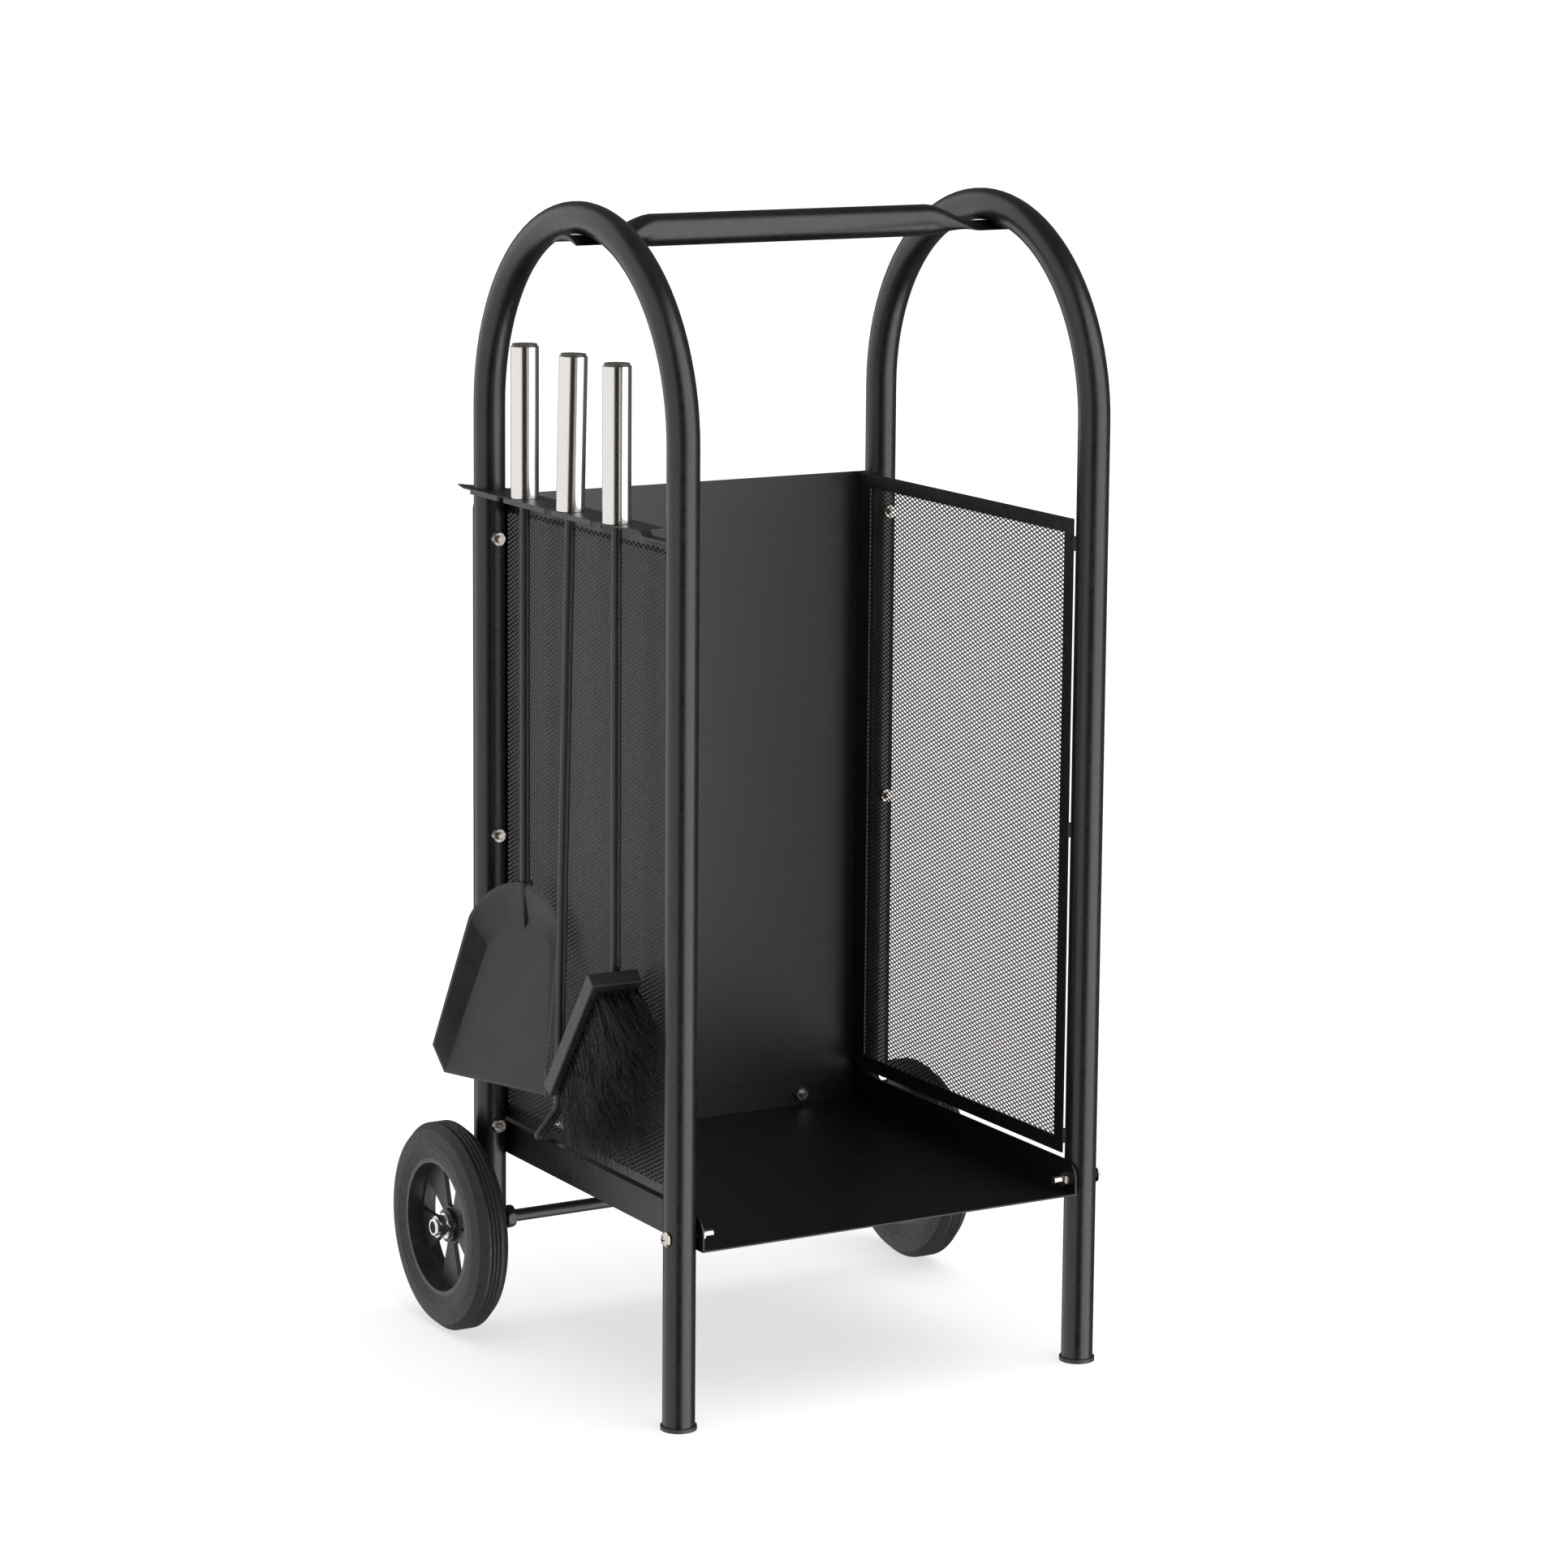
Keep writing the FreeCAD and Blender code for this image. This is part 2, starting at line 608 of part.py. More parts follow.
panel_half = half_arch + size.panel_margin
corner = size.panel_corner
back = prism("back_sheet", [
    (-panel_half, size.panel_bottom),
    (panel_half, size.panel_bottom),
    (panel_half, size.panel_top - corner, corner),
    (panel_half - corner, size.panel_top),
    (-panel_half + corner, size.panel_top, corner),
    (-panel_half, size.panel_top - corner),
], "XZ", panel_rear, size.panel_sheet)
panel_bolt_places = [(half_arch * sign, height) for side, sign in SIDES for height in panel_bolt_heights]
rear_bolt_places = [(size.rear_bolt_offset * sign, size.rear_bolt_height) for side, sign in SIDES]
panel_holes = [cylinder(f"back_hole_{index}", hole_diameter, size.panel_sheet + 2, x, panel_front - 1, z, "Y")
               for index, (x, z) in enumerate(panel_bolt_places + rear_bolt_places)]
keep("back_panel", cut("back_panel", back, *panel_holes))

panel_grip = size.panel_sheet + size.tube_diameter
fasteners("back_panel_bolts", panel_screw(panel_grip + size.nut_height + size.thread_end),
          [(x, panel_rear, z, FORWARD) for x, z in panel_bolt_places])
fasteners("back_panel_nuts", panel_nut,
          [(x, half_legs - tube_radius, z, FORWARD) for x, z in panel_bolt_places])


# ---- Side frames: sheet borders inside the legs, with expanded metal on their outer faces ----

side_front = -half_legs + size.side_setback
window_front = side_front + size.side_border
window_rear = panel_front - size.side_rear_border
window_bottom = size.side_bottom + size.side_border
window_top = size.panel_top - size.side_border
side_inner_x = {"left": -side_face, "right": side_face - size.side_sheet}
mesh_x = {"left": -side_face - size.mesh_thickness, "right": side_face}


def rectangle(left, bottom, right, top):
    return [(left, bottom), (right, bottom), (right, top), (left, top)]


overlap = size.mesh_overlap
leg_half_chord = root(tube_radius * tube_radius
                      - (tube_radius - size.mesh_thickness) * (tube_radius - size.mesh_thickness))
mesh_outline = rectangle(window_front - overlap, window_bottom - overlap,
                         half_legs - leg_half_chord - size.mesh_leg_gap, window_top + overlap)
for side, sign in SIDES:
    border = prism(f"{side}_border", rectangle(side_front, size.side_bottom, panel_front, size.panel_top),
                   "YZ", side_inner_x[side], size.side_sheet)
    middle_x = (side_face - size.side_sheet / 2) * sign
    pocket(border, f"{side}_window", rectangle(window_front, window_bottom, window_rear, window_top),
           "YZ", middle_x, size.side_sheet + 2)
    keep(f"{side}_side_frame", border)
    keep(f"{side}_mesh", prism(f"{side}_mesh_sheet", mesh_outline, "YZ", mesh_x[side], size.mesh_thickness))

# Weld beads fill the wedge between a front leg and the front edge of its side frame.
for side, sign in SIDES:
    beads = []
    for step, height in enumerate((size.weld_low, size.weld_middle, size.weld_high)):
        bead = cylinder(f"{side}_bead_{step}", 2 * size.weld_radius, size.weld_length,
                        side_face * sign, side_front - size.weld_radius / 2, height - size.weld_length / 2)
        beads.append(bead)
    tube = cylinder(f"{side}_bead_tube", size.tube_diameter, size.panel_top, half_arch * sign, -half_legs, 0)
    sheet_edge = box(f"{side}_bead_edge", (side_inner_x[side], side_front, 0),
                     (side_inner_x[side] + size.side_sheet, 0, size.panel_top))
    keep(f"{side}_welds", cut(f"{side}_welds", group(f"{side}_beads", *beads), tube, sheet_edge))


# ---- Shelf: a tray folded from one sheet, open at the front ----

shelf_front = -half_legs - size.shelf_overhang
shelf_bottom = size.panel_bottom
flange_top = shelf_bottom + size.shelf_flange
floor = box("shelf_floor", (-side_face, shelf_front, shelf_bottom),
            (side_face, panel_front, shelf_bottom + size.shelf_sheet))
rear_flange = box("shelf_rear", (-side_face, panel_front - size.shelf_sheet, shelf_bottom),
                  (side_face, panel_front, shelf_bottom + size.shelf_rear_flange))
side_flanges = []
for side, sign in SIDES:
    start = -side_face if sign < 0 else side_face - size.shelf_sheet
    flange = prism(f"shelf_{side}", [
        (shelf_front, shelf_bottom),
        (panel_front, shelf_bottom),
        (panel_front, flange_top),
        (shelf_front + size.shelf_corner, flange_top, size.shelf_corner),
        (shelf_front, flange_top - size.shelf_corner),
    ], "YZ", start, size.shelf_sheet)
    side_flanges.append(flange)
tray = fuse("shelf_folded", floor, rear_flange, *side_flanges)
tray_holes = [cylinder("shelf_side_hole", hole_diameter, size.arch_spacing,
                       -half_arch, shelf_bolt_y, size.shelf_bolt_height, "X")]
for index, (x, z) in enumerate(rear_bolt_places):
    tray_holes.append(cylinder(f"shelf_rear_hole_{index}", hole_diameter, size.shelf_sheet + 2,
                               x, panel_front - size.shelf_sheet - 1, z, "Y"))
keep("shelf_tray", cut("shelf_tray", tray, *tray_holes))

side_grip = size.tube_diameter + size.shelf_sheet
fasteners("shelf_side_bolts", panel_screw(side_grip + size.nut_height + size.shelf_thread_end),
          [((half_arch + tube_radius) * sign, shelf_bolt_y, size.shelf_bolt_height, INWARD[side])
           for side, sign in SIDES])
fasteners("shelf_side_nuts", panel_nut,
          [((side_face - size.shelf_sheet) * sign, shelf_bolt_y, size.shelf_bolt_height, INWARD[side])
           for side, sign in SIDES])
rear_grip = size.panel_sheet + size.shelf_sheet
fasteners("shelf_rear_bolts", panel_screw(rear_grip + size.nut_height + size.thread_end),
          [(x, panel_rear, z, FORWARD) for x, z in rear_bolt_places])
fasteners("shelf_rear_nuts", panel_nut,
          [(x, panel_front - size.shelf_sheet, z, FORWARD) for x, z in rear_bolt_places])


# ---- Tool rail: slotted sheet across the left arch, with a turned-down lip ----

TOOLS = {
    "shovel": (size.shovel_seat, size.shovel_offset),
    "poker": (size.poker_seat, size.poker_offset),
    "brush": (size.brush_seat, size.brush_offset),
}
rail_low = size.rail_top - size.rail_sheet
rail_edge = -half_arch - size.rail_outer
rail_inside = -half_arch + size.rail_inner
taper_x = -half_arch - size.rail_front_outer
leaf = prism("rail_leaf", [
    (rail_edge, half_legs + tube_radius),
    (rail_edge, -size.rail_shoulder),
    (taper_x, -size.rail_front),
    (rail_inside, -size.rail_front),
    (rail_inside, half_legs - tube_radius),
    (-half_arch, half_legs + tube_radius),
    (rail_edge + size.rail_tail_width, size.rail_tail),
], "XY", rail_low, size.rail_sheet)
tab_top = size.rail_top - size.rail_drop
tab = prism("rail_tab", [
    (-half_legs, tab_top - size.rail_sheet),
    (-size.rail_front - size.rail_drop, tab_top - size.rail_sheet),
    (-size.rail_front, rail_low),
    (-size.rail_front, size.rail_top),
    (-size.rail_front - size.rail_drop, tab_top),
    (-half_legs, tab_top),
], "YZ", -half_arch - size.rail_tab, size.rail_tab)
lip = box("rail_lip_bar", (rail_edge, -size.rail_shoulder, rail_low - size.rail_lip),
          (rail_edge + size.rail_sheet, half_legs, size.rail_top))
SLOT_CUT = 1.3  # length of a slot's cut, over the way from its seat to the rail's edge
half_slot = size.slot_width / 2
slots = []
for tool, (seat, offset) in TOOLS.items():
    seat_x = -half_arch - offset
    mouth_x = seat_x + (rail_edge - seat_x) * SLOT_CUT
    mouth_y = seat + size.slot_slant * SLOT_CUT
    slots.append(prism(f"{tool}_slot", [
        (mouth_x, mouth_y + half_slot),
        (mouth_x, mouth_y - half_slot),
        (seat_x, seat - half_slot),
        (seat_x, seat + half_slot),
    ], "XY", rail_low - size.rail_lip - 1, size.rail_sheet + size.rail_lip + 2))
    slots.append(cylinder(f"{tool}_slot_end", size.slot_width, size.rail_sheet + 2,
                          seat_x, seat, rail_low - 1))
legs = [cylinder(f"rail_leg_{place}", size.tube_diameter, size.tube_diameter,
                 -half_arch, y, size.rail_top - tube_radius)
        for place, y in (("front", -half_legs), ("rear", half_legs))]
keep("tool_rail", cut("tool_rail", fuse("rail_bent", leaf, tab, lip), *slots, *legs))


# ---- Axle with its nuts, spacers and washers ----

axle_half = half_arch + size.axle_reach
keep("axle_rod", group("axle_rod", cylinder("axle_bar", size.axle_diameter, 2 * axle_half, -axle_half, 0, 0, "X")),
     y=half_legs, z=wheel_radius)
tyre_outer = half_arch + size.tyre_inner_face + size.tyre_width
hub_inner = half_arch + size.tyre_inner_face
hub_outer = tyre_outer - size.hub_recess
spacer_start = half_arch + tube_radius
spacer_length = hub_inner - size.wheel_gap - spacer_start
washer_start = hub_outer + size.wheel_gap


def axle_nut(name):
    return hexagon(name, size.axle_nut_flats, size.axle_nut_height, size.axle_diameter)


COLLAR_WIDTH = 0.88  # locking collar, in nut widths
COLLAR_BALL = 0.62  # radius of the ball that rounds it, in collar diameters
COLLAR_BALL_DROP = 0.44  # middle of that ball below the collar's end, in collar diameters


def lock_nut(name):
    """A hexagon nut with a rounded locking collar on its outer end."""
    collar_diameter = size.axle_nut_flats * COLLAR_WIDTH
    collar = cylinder(name + "_collar", collar_diameter, size.axle_collar + 1, 0, 0, size.axle_nut_height - 1)
    ball = bind(new("Part::Sphere", name + "_round"), Radius=collar_diameter * COLLAR_BALL)
    move(ball, 0, 0, size.axle_nut_height + size.axle_collar - collar_diameter * COLLAR_BALL_DROP)
    rounded = new("Part::Common", name + "_rounded")
    rounded.Base = collar
    rounded.Tool = ball
    hole = cylinder(name + "_bore", size.axle_diameter, size.axle_nut_height + size.axle_collar + 2, 0, 0, -1)
    return cut(name, fuse(name + "_solid", axle_nut(name + "_nut"), rounded), hole)


def ring(outer, length):
    def make(name):
        hole = cylinder(name + "_bore", size.axle_diameter, length + 2, 0, 0, -1)
        return cut(name, cylinder(name + "_disc", outer, length, 0, 0, 0), hole)
    return make


def on_axle(distance, turned_to):
    return [(distance * sign, half_legs, wheel_radius, turned_to[side]) for side, sign in SIDES]


fasteners("axle_inner_nuts", axle_nut, on_axle(side_face, INWARD))
fasteners("axle_spacers", ring(size.spacer_diameter, spacer_length), on_axle(spacer_start, OUTWARD))
fasteners("axle_washers", ring(size.axle_washer_diameter, size.axle_washer), on_axle(washer_start, OUTWARD))
fasteners("axle_lock_nuts", lock_nut, on_axle(washer_start + size.axle_washer, OUTWARD))


# ---- Wheels, laid out along +X with zero at the inner side of the tyre ----

rim_radius = size.rim_diameter / 2
barrel_radius = rim_radius - size.rim_wall
hub_radius = size.hub_diameter / 2
bore_radius = size.axle_diameter / 2 + size.wheel_running_gap
rim_start = size.rim_inset
rim_end = size.tyre_width - size.rim_inset
web_end = rim_end - size.web_inset
web_start = web_end - size.web_thickness
hub_end = size.tyre_width - size.hub_recess


def wheel_rim(name):
    body = turned(name, [
        (0, bore_radius),
        (hub_end, bore_radius),
        (hub_end, hub_radius),
        (web_end, hub_radius),
        (web_end, barrel_radius),
        (rim_end, barrel_radius + 1),
        (rim_end, rim_radius),
        (rim_start, rim_radius),
        (rim_start, barrel_radius + 1),
        (web_start, barrel_radius),
        (web_start, hub_radius),
        (0, hub_radius),
    ])
    window = new_sketch(body, name + "_window_outline", "YZ", (web_start + web_end) / 2)
    near = hub_radius + size.window_hub_gap
    far = barrel_radius - size.window_rim_gap
    across = [near * sine(size.window_half_angle), far * sine(size.window_half_angle)]
    up = [near * cosine(size.window_half_angle), far * cosine(size.window_half_angle)]
    draw_outline(window, [(-across[0], up[0]), (across[0], up[0]), (across[1], up[1], far), (-across[1], up[1])])
    opening = body.newObject("PartDesign::Pocket", name + "_window")
    opening.Profile = window
    opening.Midplane = True
    bind(opening, Length=size.web_thickness + 2)
    pattern = body.newObject("PartDesign::PolarPattern", name + "_windows")
    pattern.Originals = [opening]
    pattern.Axis = (window, ["N_Axis"])
    pattern.Angle = 360
    pattern.Occurrences = 5
    body.Tip = pattern
    return body


def tyre(name):
    shoulder = size.tyre_shoulder
    crown = wheel_radius - size.tyre_crown
    tread = size.tyre_width - 2 * shoulder
    groove = size.tyre_groove
    edge = shoulder / 3
    outline = [
        (rim_start, rim_radius),
        (rim_end, rim_radius),
        (size.tyre_width, rim_radius + size.tyre_shoulder),
        (size.tyre_width, crown - shoulder),
        (size.tyre_width - edge, crown),
        (size.tyre_width - shoulder, wheel_radius),
    ]
    for step in (3, 2, 1):
        middle = shoulder + tread * step / 4
        outline.append((middle + groove, wheel_radius))
        outline.append((middle, wheel_radius - groove))
        outline.append((middle - groove, wheel_radius))
    outline += [
        (shoulder, wheel_radius),
        (edge, crown),
        (0, crown - shoulder),
        (0, rim_radius + size.tyre_shoulder),
    ]
    return turned(name, outline)


for side, sign in SIDES:
    facing = UPRIGHT if sign > 0 else FreeCAD.Rotation(Vector(0, 0, 1), 180)
    for part_name, make in (("rim", wheel_rim), ("tyre", tyre)):
        name = f"{side}_{part_name}"
        keep(name, make(name), hub_inner * sign, half_legs, wheel_radius, facing)


# ---- Tools. Each is laid out about its own rod: +Z up, zero at the rail's upper face ----

rod_radius = size.rod_diameter / 2
grip_foot = size.tool_clearance


def tool_place(tool):
    seat, offset = TOOLS[tool]
    return -half_arch - offset, seat, size.rail_top


def keep_tool(name, tool, thing, lean=UPRIGHT):
    keep(name, thing, *tool_place(tool), lean)


def grip(name):
    """A stainless tube with a closed foot bored for the rod."""
    solid = cylinder(name + "_solid", size.grip_diameter, size.grip_length, 0, 0, grip_foot)
    hollow = cylinder(name + "_hollow", size.grip_diameter - 2 * size.grip_wall, size.grip_length,
                      0, 0, grip_foot + size.rod_tongue)
    return cut(name, solid, hollow, cylinder(name + "_bore", size.rod_diameter, size.rod_tongue + 2, 0, 0, -1))


def grip_cap(name):
    """A push-in end cap: a low disc with a stem inside the grip."""
    top = grip_foot + size.grip_length
    disc = cylinder(name + "_disc", size.grip_cap_diameter, size.grip_cap_height, 0, 0, top)
    stem_diameter = size.grip_diameter - 2 * size.grip_wall - 2 * size.plug_gap
    stem = cylinder(name + "_stem", stem_diameter, size.cap_plug_depth, 0, 0, top - size.cap_plug_depth)
    return fuse(name, disc, stem)


def straight_rod(name, length):
    return cylinder(name, size.rod_diameter, length + size.rod_tongue + grip_foot, 0, 0, -length)


leaning = FreeCAD.Rotation(Vector(0, 1, 0), size.poker_lean.value)
LEAN = {"shovel": UPRIGHT, "poker": leaning, "brush": UPRIGHT}
for tool in TOOLS:
    keep_tool(f"{tool}_grip", tool, grip(f"{tool}_grip"), LEAN[tool])
    keep_tool(f"{tool}_cap", tool, grip_cap(f"{tool}_cap"), LEAN[tool])

# Shovel
shovel_rod = group("shovel_rod", straight_rod("shovel_bar", size.shovel_rod_length))
keep_tool("shovel_rod", "shovel", shovel_rod)


def pan_outline(start, half_start, straight, half_straight, end, inset, front):
    """Half widths at the mouth and at the start of the round end, drawn from the mouth (or in front of it)."""
    slope = (half_start - half_straight) / (straight - start)
    half_front = half_start + slope * (start - front)
    rise = end - straight
    radius = (half_straight * half_straight + rise * rise) / (2 * rise) - inset
    end_rise = root(radius * radius - (half_straight - inset) * (half_straight - inset))
    centre = end - inset - radius
    return [
        (half_front - inset, front),
        (half_straight - inset, centre + end_rise, radius),
        (-half_straight + inset, centre + end_rise),
        (-half_front + inset, front),
    ]


def pan_loft(body, name, kind, floor_lift, rim_lift, inset, floor_front, rim_front):
    floor_sketch = new_sketch(body, name + "_floor", "XY", floor_lift)
    draw_outline(floor_sketch, pan_outline(as_size(0), size.pan_mouth / 2, size.pan_straight,
                                           size.pan_neck / 2, size.pan_floor, inset, floor_front))
    rim_sketch = new_sketch(body, name + "_rim", "XY", rim_lift)
    draw_outline(rim_sketch, pan_outline(size.pan_rim_start, size.pan_rim_mouth / 2, size.pan_rim_straight,
                                         size.pan_rim_neck / 2, size.pan_rim_length, inset, rim_front))
    loft = body.newObject(kind, name)
    loft.Profile = floor_sketch
    loft.Sections = [rim_sketch]
    loft.Ruled = True
    return loft


# The pan lies on its back: X across, Y from the mouth to the round end, Z from the floor to the rim.
pan = new("PartDesign::Body", "pan_body")
pan_loft(pan, "pan_outside", "PartDesign::AdditiveLoft", 0, size.pan_depth, as_size(0),
         as_size(0), size.pan_rim_start)
open_front = as_size(-8)  # the inside runs out through the mouth
pan_loft(pan, "pan_inside", "PartDesign::SubtractiveLoft", size.pan_sheet, size.pan_depth + size.pan_sheet,
         size.pan_sheet, open_front, open_front)
turn, tilt = math.radians(size.pan_turn.value), math.radians(size.pan_tilt.value)
outward = Vector(-math.cos(turn), -math.sin(turn), 0)
upward = Vector(0, 0, 1)
pan_across = Vector(math.sin(turn), -math.cos(turn), 0)
pan_along = upward * math.cos(tilt) - outward * math.sin(tilt)
pan_rotation = FreeCAD.Rotation(pan_across, pan_along, pan_across.cross(pan_along), "ZYX")
move(pan, -size.pan_mouth_offset * cosine(size.pan_turn), -size.pan_mouth_offset * sine(size.pan_turn),
     -size.pan_mouth_drop, pan_rotation)
boss = bind(new("Part::Cone", "pan_boss"), Radius1=size.pan_boss_narrow / 2, Radius2=size.pan_boss_wide / 2,
            Height=size.pan_boss_length)
move(boss, 0, 0, -size.pan_boss_drop)
rod_way = cylinder("pan_rod_way", size.rod_diameter, size.shovel_rod_length, 0, 0, -size.shovel_rod_length)
keep_tool("shovel_pan", "shovel", cut("shovel_pan", fuse("pan_with_boss", pan, boss), rod_way))

# Poker: a rod with its end bent outwards and rounded
poker = new("PartDesign::Body", "poker_bar")
poker_ring = new_sketch(poker, "poker_ring", "XY", size.rod_tongue + grip_foot)
draw_circle(poker_ring, 0, 0, size.rod_diameter)
poker_path = new_sketch(poker, "poker_path", "XZ")
hook = size.poker_hook_angle
elbow_x = -size.poker_bend * (1 - cosine(hook))
elbow_z = -size.poker_rod_length - size.poker_bend * sine(hook)
tip_x = elbow_x - size.poker_hook_length * sine(hook)
tip_z = elbow_z - size.poker_hook_length * cosine(hook)
straight_end = Vector(0, -size.poker_rod_length.value, 0)
elbow_end = Vector(elbow_x.value, elbow_z.value, 0)
poker_top = size.rod_tongue + grip_foot
poker_path.addGeometry(Part.LineSegment(Vector(0, poker_top.value, 0), straight_end))
elbow = Part.Circle(straight_end - Vector(size.poker_bend.value, 0, 0), Vector(0, 0, 1), size.poker_bend.value)
poker_path.addGeometry(Part.ArcOfCircle(elbow, -math.radians(hook.value), 0))
poker_path.addGeometry(Part.LineSegment(elbow_end, Vector(tip_x.value, tip_z.value, 0)))
pin(poker_path, 0, 1, 0, poker_top)
pin(poker_path, 0, 2, 0, -size.poker_rod_length)
set_radius(poker_path, 1, size.poker_bend)
pin(poker_path, 2, 1, elbow_x, elbow_z)
pin(poker_path, 2, 2, tip_x, tip_z)
poker_path.addConstraint(Sketcher.Constraint("Coincident", 0, 2, 1, 2))
poker_path.addConstraint(Sketcher.Constraint("Coincident", 1, 1, 2, 1))
poker_pipe = poker.newObject("PartDesign::AdditivePipe", "poker_pipe")
poker_pipe.Profile = poker_ring
poker_pipe.Spine = (poker_path, [])
poker_tip = move(bind(new("Part::Sphere", "poker_tip"), Radius=rod_radius), tip_x, 0, tip_z)
keep_tool("poker_rod", "poker", fuse("poker_rod", poker, poker_tip), leaning)

# Brush: a wooden block on the end of its rod, tilted so that the bristles point forwards and down.
# The block hangs down from its upper end, with its back at zero and its bristles along -Y.
brush_rotation = FreeCAD.Rotation(Vector(0, 0, 1), size.brush_turn.value).multiply(
    FreeCAD.Rotation(Vector(1, 0, 0), size.brush_tilt.value))
block = prism("brush_block", rectangle(size.brush_width / -2, -size.brush_length, size.brush_width / 2, 0),
              "XZ", 0, size.brush_thickness)
block_pad = block.Tip
softened = block.newObject("PartDesign::Chamfer", "brush_block_edges")
softened.Base = (block_pad, ["Edge1"])
softened.UseAllEdges = True
bind(softened, Size=size.brush_edge)


def at_brush_head(thing):
    return move(thing, -size.brush_side, -size.brush_forward, -size.brush_drop, brush_rotation)


keep_tool("brush_rod", "brush", group("brush_rod", straight_rod("brush_bar", size.brush_rod_length)))
brush_way = cylinder("brush_rod_way", size.rod_diameter, size.brush_rod_length, 0, 0, -size.brush_rod_length)
keep_tool("brush_head", "brush", cut("brush_head", at_brush_head(block), brush_way))
tuft = new("Part::Wedge", "brush_tuft")
tuft_half = size.brush_width / 2 - size.bristle_margin
tip_half = tuft_half + size.bristle_spread
tuft_low = size.bristle_margin - size.brush_length
bind(tuft, Xmin=-tip_half, Xmax=tip_half, X2min=-tuft_half, X2max=tuft_half,
     Ymin=-size.brush_thickness - size.bristle_length, Ymax=-size.brush_thickness,
     Zmin=tuft_low - size.bristle_flare, Zmax=size.bristle_flare - size.bristle_margin,
     Z2min=tuft_low, Z2max=-size.bristle_margin)
keep_tool("brush_bristles", "brush", group("brush_bristles", at_brush_head(tuft)))


# ---- Move the origin under the middle of the bounding box, check every object and write the parts ----

def stop_if_failed():
    failed = [thing.Name for thing in doc.Objects if "Invalid" in thing.State or "Error" in thing.State]
    failed += [name for name, piece in pieces.items() if piece.Shape.isNull() or not piece.Shape.isValid()]
    failed += [name for name, piece in pieces.items() if not piece.Shape.Solids]
    if failed:
        raise RuntimeError("failed: " + ", ".join(failed))


doc.recompute()
stop_if_failed()
whole = FreeCAD.BoundBox()
for piece in pieces.values():
    whole.add(piece.Shape.optimalBoundingBox(False, False))
for alias, number in (("origin_x", whole.Center.x), ("origin_y", whole.Center.y)):
    sheet.set(sheet.getCellFromAlias(alias), f"{number:.3f}")
doc.recompute()

stop_if_failed()
for name, piece in pieces.items():
    piece.Shape.exportStep(f"parts/{name}.step")
print(len(pieces), "parts; origin moved by", size.origin_x.value, size.origin_y.value)
print("box", whole.XLength, whole.YLength, whole.ZLength, "lowest", whole.ZMin)
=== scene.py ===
"""A firewood log rack on two wheels, with its three fire tools on the left-hand side."""

import math

import bpy
import numpy as np
from mathutils import Matrix, Vector


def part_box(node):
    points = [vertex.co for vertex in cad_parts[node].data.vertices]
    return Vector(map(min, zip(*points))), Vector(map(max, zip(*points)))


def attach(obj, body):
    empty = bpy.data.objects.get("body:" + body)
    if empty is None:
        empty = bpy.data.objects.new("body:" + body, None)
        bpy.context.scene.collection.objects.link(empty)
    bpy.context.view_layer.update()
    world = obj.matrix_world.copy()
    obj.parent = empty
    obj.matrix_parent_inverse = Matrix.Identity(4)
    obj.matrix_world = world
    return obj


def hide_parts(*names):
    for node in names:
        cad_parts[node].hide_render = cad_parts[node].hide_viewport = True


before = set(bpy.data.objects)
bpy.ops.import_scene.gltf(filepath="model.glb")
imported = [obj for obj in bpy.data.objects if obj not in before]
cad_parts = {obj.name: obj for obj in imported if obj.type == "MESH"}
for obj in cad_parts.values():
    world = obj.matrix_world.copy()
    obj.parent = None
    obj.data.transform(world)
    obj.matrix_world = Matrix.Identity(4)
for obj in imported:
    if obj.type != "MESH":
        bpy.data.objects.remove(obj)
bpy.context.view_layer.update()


# ---- The two arches ----
# Each arch is one length of round steel tube, bent over the top and left straight for its two legs.
# It is powder coated satin black in one go, so the coat has the faint peel of baked powder.

TUBE_BLACK = (0.005, 0.005, 0.0054, 1)
TUBE_BLACK_WORN = (0.009, 0.009, 0.0094, 1)
TUBE_GLOSS = (0.27, 0.35)
TUBE_PEEL = 0.00006
COAT_TONE_LUMPS = 38.0
COAT_GLOSS_LUMPS = 160.0
COAT_PEEL_LUMPS = 1100.0
COAT_PEEL_STRENGTH = 0.25


def start_material(name):
    """A material, its shader, and the point on the piece that its patterns follow."""
    material = bpy.data.materials.new(name)
    material.use_nodes = True
    nodes = material.node_tree.nodes
    shader = nodes["Principled BSDF"]
    place = nodes.new("ShaderNodeTexCoord")
    return material, shader, place.outputs["Object"]


def stretched(material, place, scale):
    """The same point with its three directions scaled, for patterns that run one way."""
    mapping = material.node_tree.nodes.new("ShaderNodeMapping")
    mapping.inputs["Scale"].default_value = scale
    material.node_tree.links.new(place, mapping.inputs["Vector"])
    return mapping.outputs["Vector"]


def mottle(material, place, scale, detail=3.0, rough=0.55):
    """Soft blotches: a noise of that many lumps in a metre."""
    noise = material.node_tree.nodes.new("ShaderNodeTexNoise")
    noise.inputs["Scale"].default_value = scale
    noise.inputs["Detail"].default_value = detail
    noise.inputs["Roughness"].default_value = rough
    material.node_tree.links.new(place, noise.inputs["Vector"])
    return noise.outputs["Fac"]


def spread(material, source, low, high, start=0.35, end=0.65):
    """Turns a pattern into a number between low and high."""
    ranged = material.node_tree.nodes.new("ShaderNodeMapRange")
    for socket, value in (("From Min", start), ("From Max", end), ("To Min", low), ("To Max", high)):
        ranged.inputs[socket].default_value = value
    material.node_tree.links.new(source, ranged.inputs["Value"])
    return ranged.outputs["Result"]


